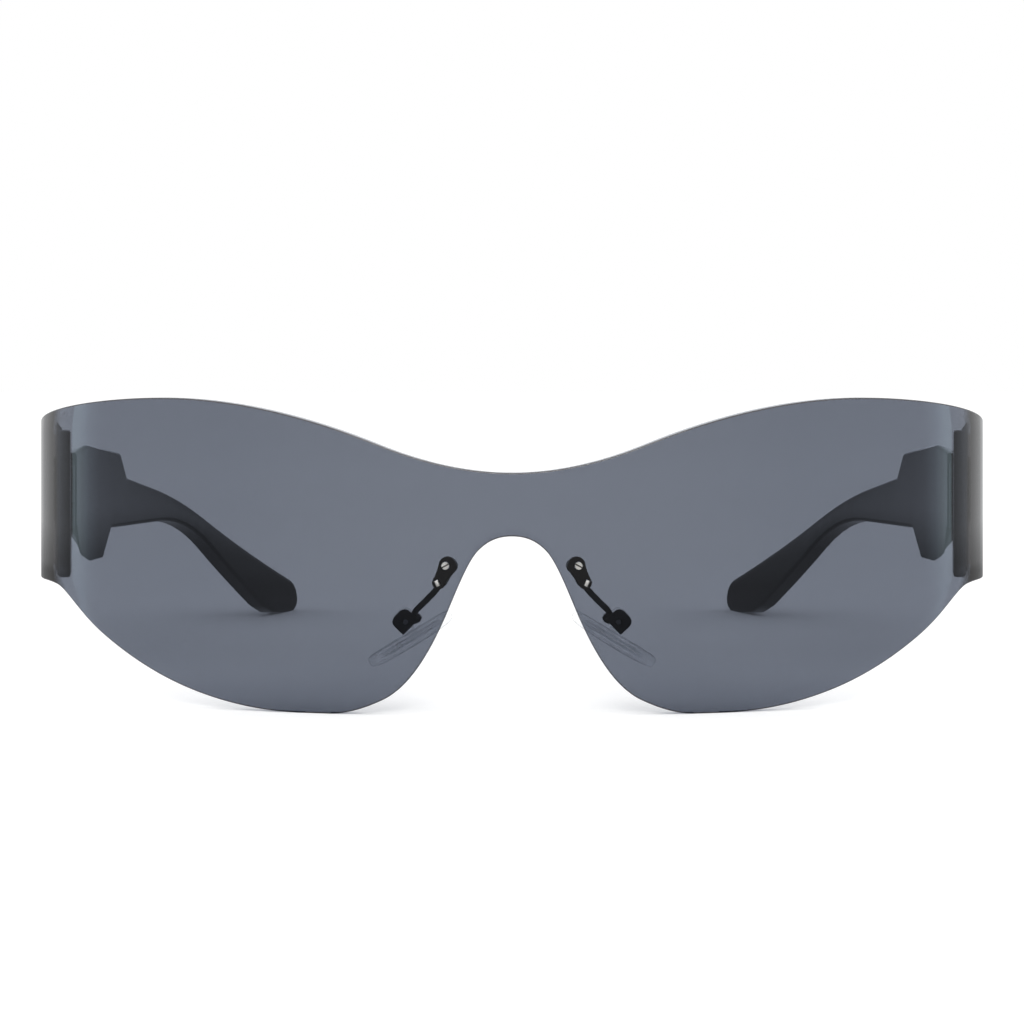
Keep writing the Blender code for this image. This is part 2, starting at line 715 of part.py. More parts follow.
def make_temple(side, material, parent):
    name = SIDE_NAMES[side]
    bm = bmesh.new()
    outline = temple_outline()
    loft(bm, [[(x, y, z) for y, z in outline] for x in (0.0, TEMPLE_THICKNESS)])
    bmesh.ops.recalc_face_normals(bm, faces=bm.faces)
    caps = [f for f in bm.faces if len(f.verts) > 4]
    rims = {edge for face in caps for edge in face.edges}
    bmesh.ops.bevel(
        bm, geom=list(rims), offset=TEMPLE_EDGE_RADIUS, segments=3, profile=0.5, affect="EDGES", clamp_overlap=True
    )
    for i in range(1, round(TEMPLE_LENGTH / BEND_STEP)):
        geometry = bm.verts[:] + bm.edges[:] + bm.faces[:]
        bmesh.ops.bisect_plane(bm, geom=geometry, plane_co=(0, i * BEND_STEP, 0), plane_no=(0, 1, 0), dist=0.01)
    for vert in bm.verts:
        back = vert.co.y
        share = vert.co.x / TEMPLE_THICKNESS
        vert.co.x = temple_inner(back) + share * temple_thickness(back)
        vert.co.y = AXIS_Y + back
    temple = place(f"{name}_temple", bm, side, parent=parent, material=material)

    bm = bmesh.new()
    hinge = Matrix.Translation((AXIS_X, AXIS_Y, 0))
    cylinder(bm, BARREL_RADIUS + FIT_GAP, HINGE_BOTTOM - FIT_GAP, pin_head_room(), hinge)
    room = place(f"{name}_temple_room", bm, side, parent=parent, helper=True)
    combine(temple, room, "DIFFERENCE")

    bm = bmesh.new()
    edge_x = AXIS_X + BUTT_GAP * math.sqrt(2)
    notch = [(edge_x + 3, AXIS_Y - 3), (edge_x - 8, AXIS_Y + 8), (edge_x - 14, AXIS_Y + 2), (edge_x - 3, AXIS_Y - 9)]
    prism(bm, notch, 0.0, BROW_PEAK)
    notch_cutter = place(f"{name}_temple_notch", bm, side, parent=parent, helper=True)
    combine(temple, notch_cutter, "DIFFERENCE")

    bm = bmesh.new()
    temple_tang(bm, FIT_GAP)
    pocket = place(f"{name}_temple_pocket", bm, side, parent=parent, helper=True)
    combine(temple, pocket, "DIFFERENCE")
    return temple


# Nose pad brackets

def waisted(start, end):
    """Points between two ends of a plate's side, drawn in to its left by up to the waist."""
    run = Vector(end) - Vector(start)
    inwards = Vector((-run.y, run.x)).normalized() * PLATE_WAIST
    return [tuple(Vector(start) + run * t + inwards * 4 * t * (1 - t)) for t in (0.25, 0.5, 0.75)]


def pear_outline(wide_radius, drop):
    """Plate outline round both pins, in the lens frame at the screw: a wide and a narrow end."""
    lean = math.radians(PIN_LEAN)
    aside = Vector((-math.cos(lean), -math.sin(lean)))
    lift = Vector((-math.sin(lean), math.cos(lean))) * PLATE_LIFT
    wide = lift + aside * PLATE_WIDE_OFFSET - Vector((0, drop))
    narrow = lift + Vector(peg_place()) + aside * PLATE_NARROW_OFFSET
    run = narrow - wide
    heading = math.degrees(math.atan2(run.y, run.x))
    spread = math.degrees(math.acos((wide_radius - PLATE_NARROW_RADIUS) / run.length))
    steps = ROUND_SEGMENTS * 3 // 5
    outline = arc(wide, wide_radius, heading + spread, heading + 360 - spread, steps)
    tip = arc(narrow, PLATE_NARROW_RADIUS, heading - spread, heading + spread, steps)
    return outline + waisted(outline[-1], tip[0]) + tip + waisted(tip[-1], outline[0])


def pear_plate(bm, wide_radius, drop, front, back):
    frame = bracket_frame()
    outline = pear_outline(wide_radius, drop)
    loft(bm, [[frame @ Vector((x, depth, z)) for x, z in outline] for depth in (front, back)])


def make_washer_plate(side, material):
    name = f"{SIDE_NAMES[side]}_washer_plate"
    bm = bmesh.new()
    pear_plate(bm, PLATE_WIDE_RADIUS, 0.0, -BOND_GAP - PLATE_THICKNESS, -BOND_GAP)
    plate = place(name, bm, side, material=material)
    bm = bmesh.new()
    bracket_holes(bm, PIN_GAP, -2 - PLATE_THICKNESS, 1.0)
    holes = place(f"{name}_holes", bm, side, helper=True)
    combine(plate, holes, "DIFFERENCE")
    return plate


def make_bracket_screw(side, material):
    name = f"{SIDE_NAMES[side]}_bracket_screw"
    bm = bmesh.new()
    frame = bracket_frame()
    front = -SCREW_REACH + BOND_GAP
    cylinder(bm, BRACKET_SCREW_RADIUS, front, REAR_PLATE_DEPTH + PLATE_THICKNESS, frame @ TO_DEPTH)
    screw = place(name, bm, side, material=material)
    bm = bmesh.new()
    half = SCREW_SLOT_WIDTH / 2
    block(bm, (-1, front - 1, -half), (1, front + SCREW_SLOT_DEPTH, half), frame @ Matrix.Rotation(0.5, 4, "Y"))
    slot = place(f"{name}_slot", bm, side, helper=True)
    combine(screw, slot, "DIFFERENCE")
    return screw


def make_bracket_peg(side, material):
    bm = bmesh.new()
    width = PEG_WIDTH / 2
    height = PEG_HEIGHT / 2
    front = -SCREW_REACH + BOND_GAP
    block(bm, (-width, front, -height), (width, REAR_PLATE_DEPTH + PLATE_THICKNESS, height), peg_frame())
    round_edges(bm, 0.08)
    return place(f"{SIDE_NAMES[side]}_bracket_peg", bm, side, material=material)


def strip_path():
    """Middle line of the strip from the base plate's narrow end round to the pad box."""
    frame = bracket_frame()
    peg_x, peg_z = peg_place()
    depth = REAR_PLATE_DEPTH + STRIP_DEPTH / 2 + 0.1
    start = frame @ Vector((peg_x, depth, peg_z - 0.2))
    box = Vector((PAD_SCREW_X, BOX_FRONT + BOX_DEPTH / 2, PAD_SCREW_HEIGHT))
    beside = BOX_HALF_WIDTH + STRIP_WIDTH / 2
    bend = box + Vector((-0.68 * beside, -0.4, 0.68 * beside))
    under = box + Vector((-0.96 * beside, 0, 0.24 * beside))
    end = box + Vector((-0.6 * beside, 0, 0))
    leave = start + Vector((0.45, 0.2, -0.95))
    points = [start, leave, leave.lerp(bend, 0.5) + Vector((0, -0.2, 0)), bend, under, end]
    return smooth_path(points, 4)


def smooth_path(points, steps):
    """Catmull-Rom curve through the points."""
    ends = [2 * points[0] - points[1]] + points + [2 * points[-1] - points[-2]]
    path = []
    for a, b, c, d in zip(ends, ends[1:], ends[2:], ends[3:]):
        for i in range(steps):
            t = i / steps
            path.append(
                0.5 * (2 * b + (c - a) * t + (2 * a - 5 * b + 4 * c - d) * t**2 + (3 * b - a - 3 * c + d) * t**3)
            )
    path.append(points[-1])
    return path


def strip_rings(path, width, depth):
    """Rectangles across a path, with the narrow side to the front."""
    rings = []
    back = Vector((0, depth / 2, 0))
    for i, point in enumerate(path):
        ahead = path[min(i + 1, len(path) - 1)] - path[max(i - 1, 0)]
        across = Vector((0, 1, 0)).cross(ahead).normalized() * width / 2
        rings.append([point + across + back, point - across + back, point - across - back, point + across - back])
    return rings


def box_frame():
    """Frame at the pad screw: X outwards, Y back from the box's front cheek, Z up."""
    return Matrix.Translation((PAD_SCREW_X, BOX_FRONT, PAD_SCREW_HEIGHT))


def flat_axes():
    """Directions along the box's flat and out of it, in the box frame's X and Z."""
    dip = math.radians(BOX_FLAT_DIP)
    return Vector((math.sin(dip), -math.cos(dip))), Vector((-math.cos(dip), -math.sin(dip)))


def box_outline():
    """Square-shouldered profile: a flat towards the pad and two wide rounded corners behind it."""
    along, out = flat_axes()
    corners = []
    for across, reach, radius in (
        (-BOX_HALF_WIDTH, BOX_FLAT_REACH, BOX_CORNER_RADIUS),
        (BOX_HALF_WIDTH, BOX_FLAT_REACH, BOX_CORNER_RADIUS),
        (BOX_HALF_WIDTH, -BOX_ROUND_REACH, BOX_ROUND_RADIUS),
        (-BOX_HALF_WIDTH, -BOX_ROUND_REACH, BOX_ROUND_RADIUS),
    ):
        corners.append((*(along * across + out * reach), radius))
    return rounded_outline(corners)


def slot_outline(radius, reach):
    """Half round pocket that runs out past the flat."""
    along, out = flat_axes()
    heading = math.degrees(math.atan2(out.y, out.x))
    points = arc((0, 0), radius, heading + 270, heading + 90, ROUND_SEGMENTS // 2)
    return points + [tuple(Vector(points[-1]) + out * reach), tuple(Vector(points[0]) + out * reach)]


def make_bracket(side, material):
    name = f"{SIDE_NAMES[side]}_pad_bracket"
    frame = box_frame()
    bm = bmesh.new()
    loft(bm, [[frame @ Vector((x, y, z)) for x, z in box_outline()] for y in (0.0, BOX_DEPTH)])
    bracket = place(name, bm, side, material=material)

    bm = bmesh.new()
    middle = BOX_DEPTH / 2
    half = TAB_THICKNESS / 2 + FIT_GAP
    slot = slot_outline(BOX_HALF_WIDTH - BOX_WALL, BOX_HALF_WIDTH * 2)
    loft(bm, [[frame @ Vector((x, y, z)) for x, z in slot] for y in (middle - half, middle + half)])
    pocket = place(f"{name}_slot", bm, side, helper=True)

    bm = bmesh.new()
    loft(bm, strip_rings(strip_path(), STRIP_WIDTH, STRIP_DEPTH))
    strip = place(f"{name}_strip", bm, side, helper=True)
    combine(bracket, strip, "UNION")
    combine(bracket, pocket, "DIFFERENCE")

    bm = bmesh.new()
    pear_plate(bm, BASE_WIDE_RADIUS, BASE_DROP, REAR_PLATE_DEPTH, REAR_PLATE_DEPTH + PLATE_THICKNESS)
    base = place(f"{name}_base", bm, side, helper=True)
    combine(bracket, base, "UNION")

    bm = bmesh.new()
    bracket_holes(bm, PIN_GAP, LENS_THICKNESS - 1, REAR_PLATE_DEPTH + PLATE_THICKNESS + 2)
    cylinder(bm, PAD_SCREW_RADIUS + PIN_GAP, -1, BOX_DEPTH + 1, frame @ TO_DEPTH)
    holes = place(f"{name}_holes", bm, side, helper=True)
    combine(bracket, holes, "DIFFERENCE")
    return bracket


def make_pad_screw(side, material):
    """Screw from the back cheek to the front one, with its head behind the box."""
    head = BOX_DEPTH + FIT_GAP
    outline = [
        (0.0, 0.0),
        (PAD_SCREW_RADIUS, 0.0),
        (PAD_SCREW_RADIUS, head),
        (PAD_SCREW_HEAD_RADIUS, head),
        (PAD_SCREW_HEAD_RADIUS, head + PAD_SCREW_HEAD_HEIGHT),
        (0.0, head + PAD_SCREW_HEAD_HEIGHT),
    ]
    bm = revolved(outline, box_frame() @ TO_DEPTH)
    return place(f"{SIDE_NAMES[side]}_pad_screw", bm, side, material=material)


# Nose pads

def pad_frame():
    """Frame on the pad screw, midway in its box: X down the pad, Y across it, Z out of its back."""
    middle = Matrix.Translation((0, BOX_DEPTH / 2, 0))
    return box_frame() @ middle @ Matrix.Rotation(math.radians(PAD_LEAN), 4, "Y")


def splayed_frame():
    """The pad frame turned about its length, so that the soft face looks back as well as inwards."""
    turn = Matrix.Rotation(math.radians(PAD_SPLAY), 4, "X")
    drop = Matrix.Translation((0, 0, -PAD_BACK))
    return pad_frame() @ drop @ turn


def core_plate(bm, grown=0.0):
    top = -CORE_COVER
    half = CORE_WIDTH / 2 + grown
    length = CORE_LENGTH / 2 - CORE_WIDTH / 2
    right = arc((PAD_SHIFT + length, 0), half, -90, 90, ROUND_SEGMENTS // 2)
    left = arc((PAD_SHIFT - length, 0), half, 90, 270, ROUND_SEGMENTS // 2)
    frame = splayed_frame()
    levels = (top - CORE_THICKNESS - grown, top + grown)
    loft(bm, [[frame @ Vector((x, y, z)) for x, y in right + left] for z in levels])


def core_tab(bm, grown=0.0):
    """Tab round the pad screw, with a narrower neck down to the plate."""
    half = TAB_THICKNESS / 2 + grown
    neck = TAB_NECK_WIDTH / 2 + grown
    radius = TAB_RADIUS + grown
    opening = math.degrees(math.asin(neck / radius))
    outline = arc((0, 0), radius, -90 + opening, 270 - opening, ROUND_SEGMENTS)
    low = -PAD_BACK - CORE_COVER - CORE_THICKNESS / 2
    outline += [(-neck, low), (neck, low)]
    frame = pad_frame()
    loft(bm, [[frame @ Vector((x, y, z)) for x, z in outline] for y in (-half, half)])


def make_pad_core(side, material, parent):
    name = f"{SIDE_NAMES[side]}_pad_core"
    bm = bmesh.new()
    core_plate(bm)
    core = place(name, bm, side, parent=parent, material=material)
    bm = bmesh.new()
    core_tab(bm)
    tab = place(f"{name}_tab", bm, side, parent=parent, helper=True)
    combine(core, tab, "UNION")
    bm = bmesh.new()
    frame = box_frame() @ TO_DEPTH
    cylinder(bm, PAD_SCREW_RADIUS + PIN_GAP, 0, BOX_DEPTH, frame)
    bore = place(f"{name}_bore", bm, side, parent=parent, helper=True)
    combine(core, bore, "DIFFERENCE")
    return core


def pad_ring(share, level):
    """Outline of the pad at a share of its size, narrower towards its upper end."""
    frame = splayed_frame()
    ring = []
    power = 2 / PAD_SQUARENESS
    for i in range(PAD_SEGMENTS):
        angle = 2 * math.pi * (i + 0.5) / PAD_SEGMENTS
        x = math.copysign(abs(math.cos(angle)) ** power, math.cos(angle))
        y = math.copysign(abs(math.sin(angle)) ** power, math.sin(angle)) * (1 + PAD_TAPER * x)
        ring.append(frame @ Vector((PAD_SHIFT + share * x * PAD_LENGTH / 2, share * y * PAD_WIDTH / 2, level)))
    return ring


def make_nose_pad(side, material, parent):
    """Soft pad: flat back with a rounded edge, and a crowned face towards the nose."""
    name = f"{SIDE_NAMES[side]}_nose_pad"
    sections = ((0.965, 0.0), (0.995, 0.12), (1.0, 0.35), (0.995, 0.6), (0.965, 0.8), (0.88, 0.92), (0.6, 0.98))
    rings = [pad_ring(share, -depth * PAD_THICKNESS) for share, depth in sections]
    bm = bmesh.new()
    crown_end = loft(bm, rings)[1]
    fan = bmesh.ops.poke(bm, faces=[crown_end])
    fan["verts"][0].co = splayed_frame() @ Vector((PAD_SHIFT, 0, -PAD_THICKNESS))
    pad = place(name, bm, side, parent=parent, material=material)
    for label, shape in (("plate", core_plate), ("neck", core_tab)):
        bm = bmesh.new()
        shape(bm, PIN_GAP)
        pocket = place(f"{name}_{label}_pocket", bm, side, parent=parent, helper=True)
        combine(pad, pocket, "DIFFERENCE")
    return pad


def main():
    for obj in list(bpy.data.objects):
        bpy.data.objects.remove(obj, do_unlink=True)
    lens_grey = make_material("lens_grey", (0.16, 0.18, 0.21), 0.04, alpha=0.75)
    black_gloss = make_material("black_gloss", (0.012, 0.012, 0.013), 0.16)
    black_metal = make_material("black_metal", (0.014, 0.014, 0.015), 0.32, metallic=0.6)
    bright_metal = make_material("bright_metal", (0.72, 0.71, 0.69), 0.22, metallic=1.0)
    clear_soft = make_material("clear_silicone", (0.82, 0.84, 0.87), 0.25, alpha=0.35)
    clear_stiff = make_material("clear_core", (0.7, 0.73, 0.77), 0.15, alpha=0.45)

    make_lens(lens_grey)
    for side, name in SIDE_NAMES.items():
        hinge_axis = axis_empty(f"{name}_hinge_axis", side, AXIS_X, AXIS_Y, HINGE_BOTTOM)
        pad_axis = axis_empty(f"{name}_pad_axis", side, PAD_SCREW_X, BOX_FRONT + BOX_DEPTH / 2, PAD_SCREW_HEIGHT)
        make_endpiece(side, black_gloss)
        front_knuckles = range(0, KNUCKLE_COUNT, 2)
        temple_knuckles = range(1, KNUCKLE_COUNT, 2)
        make_leaf(side, f"{name}_front_leaf", front_tang, front_knuckles, -1, black_metal)
        make_leaf(side, f"{name}_temple_leaf", temple_tang, temple_knuckles, 1, black_metal, hinge_axis)
        make_hinge_screw(side, black_metal)
        make_temple(side, black_gloss, hinge_axis)
        make_washer_plate(side, black_metal)
        make_bracket_screw(side, bright_metal)
        make_bracket_peg(side, bright_metal)
        make_bracket(side, black_metal)
        make_pad_screw(side, bright_metal)
        make_pad_core(side, clear_stiff, pad_axis)
        make_nose_pad(side, clear_soft, pad_axis)
    bpy.context.view_layer.update()


main()
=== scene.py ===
import json
import math

import bmesh
import bpy
from mathutils import Matrix, Vector

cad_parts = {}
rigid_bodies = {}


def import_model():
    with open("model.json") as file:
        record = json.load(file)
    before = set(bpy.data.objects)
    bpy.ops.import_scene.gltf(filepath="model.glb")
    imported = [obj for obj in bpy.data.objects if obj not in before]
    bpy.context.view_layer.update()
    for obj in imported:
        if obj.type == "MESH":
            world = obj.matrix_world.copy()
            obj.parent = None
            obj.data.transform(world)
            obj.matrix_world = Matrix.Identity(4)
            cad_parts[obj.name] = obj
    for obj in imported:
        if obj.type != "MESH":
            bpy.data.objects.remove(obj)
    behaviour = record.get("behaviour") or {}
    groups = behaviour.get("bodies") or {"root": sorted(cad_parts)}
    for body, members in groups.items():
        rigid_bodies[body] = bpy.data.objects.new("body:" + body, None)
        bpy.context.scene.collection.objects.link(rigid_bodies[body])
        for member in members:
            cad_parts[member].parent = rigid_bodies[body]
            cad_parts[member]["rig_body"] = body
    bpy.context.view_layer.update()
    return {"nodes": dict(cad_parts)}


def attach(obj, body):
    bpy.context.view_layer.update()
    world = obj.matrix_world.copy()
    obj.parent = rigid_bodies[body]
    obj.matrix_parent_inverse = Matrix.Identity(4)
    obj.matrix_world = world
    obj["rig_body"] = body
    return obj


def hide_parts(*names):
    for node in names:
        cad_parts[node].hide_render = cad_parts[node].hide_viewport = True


# Rimless wraparound sunglasses on a white studio table.
# The lens front faces -Y and the arms run back along +Y. The glasses are drawn in millimetres,
# with Y from the middle of the lens front, as in the source of the solids, and the room in
# metres. Left-hand pieces are drawn, and the right-hand ones are their mirror images.

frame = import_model()

MM = 0.001
SIDES = {"left": 1, "right": -1}

# Lens sheet. Tuples are points of its edges: distance along the front, height and slope.
SHEET = 2.2
EDGE_BREAK = 0.2
FRONT_RADIUS = 140.0
FRONT_HALF_SPAN = 61.5
SIDE_RADIUS = 25.0
WING_TURN = 88.4
WING_CORNER = 1.6
BRIDGE_TOP = 35.55
BROW_RISE = (20.0, 39.7, 0.39)
BROW_PEAK = (54.0, 46.45, 0.0)
WING_TOP = (84.0, 43.15, -0.18)
NOSE_ARCH = 26.25
FOOT_AT = 29.2
FOOT_RUN = 4.0
WING_BOTTOM = 17.7

# How finely the sheet is drawn
LENS_ROWS = 10
EDGE_STEPS = 3
ARCH_COLUMN = 0.35
SIDE_COLUMN = 0.6
LEAST_COLUMN = 0.3
CORNER_COLUMNS = 8

# Wing of the sheet with painted shade for the light that it traps: how far back it starts, and how
# steeply it has to be seen
WING_SHADE_START = 12.0
WING_SHADE_RUN = 4.0
WING_SHADE_FACING = 0.53
WING_SHADE_FADE = 0.1

# Hinges
JOINT_GAP = 0.15
BARREL_RADIUS = 1.2
PIN_RADIUS = 0.5
KNUCKLES = 5
KNUCKLE_HEIGHT = 1.95
HINGE_BOTTOM = 25.1
HINGE_HEIGHT = KNUCKLES * KNUCKLE_HEIGHT + (KNUCKLES - 1) * JOINT_GAP

# Arms: plan, facets of the lobe and its chin
ARM_FRONT_THICKNESS = 5.0
ARM_LENGTH = 122.5
ARM_BOW = 18.0
ARM_LEAN = 0.06
UPPER_FACET = 36.5
UPPER_SLANT = 1.24
LOWER_FACET = 26.0
LOWER_AIM = 26.5
LOWER_SLANT = 0.95
FACET_END = 26.0
FACET_FADE = 7.0
LOBE_LENGTH = 20.0
CHIN_TOP = 24.9
CHIN_DEPTH = 0.8
CHIN_END = 6.0
CHIN_FADE = 3.0

# Blocks behind the wings, and the back edge of the thin flange over each block
BLOCK_TOP = 41.1
FLANGE_ABOVE = 0.3
FLANGE_BEHIND = 0.5
FLANGE_FOOT = 0.2

# Nose pad brackets
BRACKET_AT = 9.7
BRACKET_HEIGHT = 22.0
PLATE_THICKNESS = 0.7
PLATE_REACH = 1.31 + 0.27
BOND_GAP = 0.15
BRACKET_SCREW_RADIUS = 0.54
BRACKET_SCREW_HEAD = 0.45
SHANK_SHARE = 0.9
SLOT_TURN = -28
PIN_SPACING = 2.84
PIN_LEAN = 24.8
PEG_WIDTH = 0.48
PEG_HEIGHT = 0.88
PEG_EDGE = 0.035
PAD_SCREW_AT = (15.9, 7.2, 13.0)
BOX_DEPTH = 3.4

# Screws. Slots are as long as this many head radii: one that runs right across, and a cross.
ROD_SIDES = 40
OPEN_SLOT = 3.0
CROSS_SLOT = 1.2
NO_SLOT = 0.0001
FLOOR_FACING = 0.9
FLOOR_WITHIN = 0.01

# Nose pads
PAD_LENGTH = 14.2
PAD_WIDTH = 7.4
PAD_THICKNESS = 1.9
PAD_SQUARENESS = 2.6
PAD_TAPER = 0.14
PAD_BACK = 1.85
PAD_SHIFT = 0.75
PAD_LEAN = 31.0
PAD_SPLAY = 0.5
PAD_EDGE = 0.05
PAD_EDGE_RATE = 6.0
PAD_CROWN = 3.0
PAD_CROWN_ROOT = 0.33
PAD_SIDES = 96
PAD_RINGS = 40

# Clean-up of meshes: metres and degrees for the solids, millimetres for drawings
SAME_PLACE = 2e-7
ON_PLANE = 1e-7
FLAT_ANGLE = 0.2
PAD_WELD = 0.01
DRAWING_WELD = 1e-4

# Share of light that clear plastic mirrors where it is seen square on
CLEAR_SHINE = 0.04

# Room. Pairs are where a change starts and how long it runs: metres on the table, and shares
# of a direction in the world.
TABLE_HALF = 6.0
FAR_TABLE = (0.25, 0.5)
DIM_TABLE = (0.2, 0.25)
# Band of painted light on the table just behind the lens, which lifts its shadow: where it starts
# and where it ends
PAINTED_LIGHT_START = (-0.078, 0.02)
PAINTED_LIGHT_END = (-0.03, 0.04)
TABLE_LIFT = 0.08
FAR_LIFT = 0.1
# Strength of the painted light behind the lens
PAINTED_LIGHT_LIFT = 0.16
MIRRORED_STRENGTH = 2.0
NEAR_SHARE = 0.4
WING_X = 0.068
WING_Y = -0.06
OVERHEAD = (0.35, 0.3)
STRAIGHT_BEHIND = (0.975, 0.015)
ROOM_STRENGTH = 1.05

# Camera: focal length and horizon in pixels of a square picture, distance and height in mm
PICTURE = 1024.0
FOCAL_LENGTH = 2396.0
HORIZON = 374.0
SENSOR = 36.0
CAMERA_DISTANCE = 350.0
CAMERA_HEIGHT = 50.0

FRONT_TURN = math.asin(FRONT_HALF_SPAN / FRONT_RADIUS)
FRONT_LENGTH = FRONT_RADIUS * FRONT_TURN
WING_END = FRONT_LENGTH + SIDE_RADIUS * (math.radians(WING_TURN) - FRONT_TURN)
SIDE_X = (FRONT_RADIUS - SIDE_RADIUS) * math.sin(FRONT_TURN)
SIDE_Y = FRONT_RADIUS - (FRONT_RADIUS - SIDE_RADIUS) * math.cos(FRONT_TURN)


def turn_at(along):
    """How far the lens has turned from straight ahead, in radians."""
    if along <= FRONT_LENGTH:
        return along / FRONT_RADIUS
    return FRONT_TURN + (along - FRONT_LENGTH) / SIDE_RADIUS


def lens_plan(along, depth=0.0):
    """Plan point at a distance along the lens front, and a depth behind it."""
    turn = turn_at(abs(along))
    if abs(along) <= FRONT_LENGTH:
        x = (FRONT_RADIUS - depth) * math.sin(turn)
        y = FRONT_RADIUS - (FRONT_RADIUS - depth) * math.cos(turn)
    else:
        x = SIDE_X + (SIDE_RADIUS - depth) * math.sin(turn)
        y = SIDE_Y - (SIDE_RADIUS - depth) * math.cos(turn)
    return math.copysign(x, along), y


AXIS_X = lens_plan(WING_END)[0] - ARM_FRONT_THICKNESS + BARREL_RADIUS
AXIS_Y = lens_plan(WING_END)[1] + JOINT_GAP
FRONT_REACH = (
    lens_plan(BRACKET_AT)[1]
    - (PLATE_THICKNESS + BOND_GAP) * math.cos(turn_at(BRACKET_AT))
    - PLATE_REACH * math.sin(turn_at(BRACKET_AT))
)
MIDDLE_Y = (FRONT_REACH + AXIS_Y + ARM_LENGTH) / 2


def smooth_edge(knots, along):
    """Height of an edge that passes its (along, height, slope) knots."""
    for (a, low, rise_a), (b, high, rise_b) in zip(knots, knots[1:]):
        if along <= b:
            break
    span = b - a
    t = (along - a) / span
    return (
        (2 * t**3 - 3 * t**2 + 1) * low
        + (t**3 - 2 * t**2 + t) * span * rise_a
        + (3 * t**2 - 2 * t**3) * high
        + (t**3 - t**2) * span * rise_b
    )


def corner_drop(along):
    """How far the round corner at the end of a wing cuts into its upper and lower edges."""
    inside = WING_CORNER - (WING_END - abs(along))
    if inside <= 0:
        return 0.0
    return WING_CORNER - math.sqrt(max(WING_CORNER**2 - inside**2, 0.0))


def lens_top(along):
    """Brow line, from the bridge over its peak to the end of a wing."""
    beyond = WING_END - WING_TOP[0]
    end = (WING_END, WING_TOP[1] + beyond * WING_TOP[2], WING_TOP[2])
    knots = ((0.0, BRIDGE_TOP, 0.0), BROW_RISE, BROW_PEAK, WING_TOP, end)
    return smooth_edge(knots, abs(along)) - corner_drop(along)


def lens_bottom(along):
    """Lower edge, from the nose arch over a flat foot to the end of a wing."""
    knots = (
        (0.0, NOSE_ARCH, 0.0),
        (0.17 * FOOT_AT, 0.92 * NOSE_ARCH, -1.03),
        (0.325 * FOOT_AT, 0.583 * NOSE_ARCH, -2.35),
        (0.65 * FOOT_AT, 0.084 * NOSE_ARCH, -0.48),
        (FOOT_AT - FOOT_RUN / 2, 0.0, 0.0),
        (FOOT_AT + FOOT_RUN / 2, 0.0, 0.0),
        (50.0, 0.178 * WING_BOTTOM, 0.34),
        (68.0, 0.729 * WING_BOTTOM, 0.74),
        (76.0, 0.986 * WING_BOTTOM, 0.13),
        (WING_TOP[0], WING_BOTTOM, 0.0),
        (WING_END, WING_BOTTOM, 0.0),
    )
    return smooth_edge(knots, abs(along)) + corner_drop(along)


# Node trees, for materials and for repeated shapes

class Wire:
    """An output socket that takes part in sums: each operator adds a Math node to its tree."""

    def __init__(self, tree, socket):
        self.tree = tree
        self.socket = socket

    def out(self, name):
        return Wire(self.tree, self.socket.node.outputs[name])

    def math(self, operation, first, second):
        return self.tree.node("ShaderNodeMath", {"operation": operation}, {0: first, 1: second})

    def __add__(self, other):
        return self.math("ADD", self, other)

    def __sub__(self, other):
        return self.math("SUBTRACT", self, other)

    def __rsub__(self, other):
        return self.math("SUBTRACT", other, self)

    def __mul__(self, other):
        return self.math("MULTIPLY", self, other)

    def __truediv__(self, other):
        return self.math("DIVIDE", self, other)

    def __rtruediv__(self, other):
        return self.math("DIVIDE", other, self)

    def __pow__(self, other):
        return self.math("POWER", self, other)

    def __neg__(self):
        return self.math("MULTIPLY", self, -1.0)

    def __abs__(self):
        return self.math("ABSOLUTE", self, 0.0)

    __radd__ = __add__
    __rmul__ = __mul__

    def clamped(self):
        return self.math("MINIMUM", self.math("MAXIMUM", self, 0.0), 1.0)

    def rise(self, start, run):
        """None up to the start, then evenly more, and one from the end of the run."""
        return ((self - start) / run).clamped()


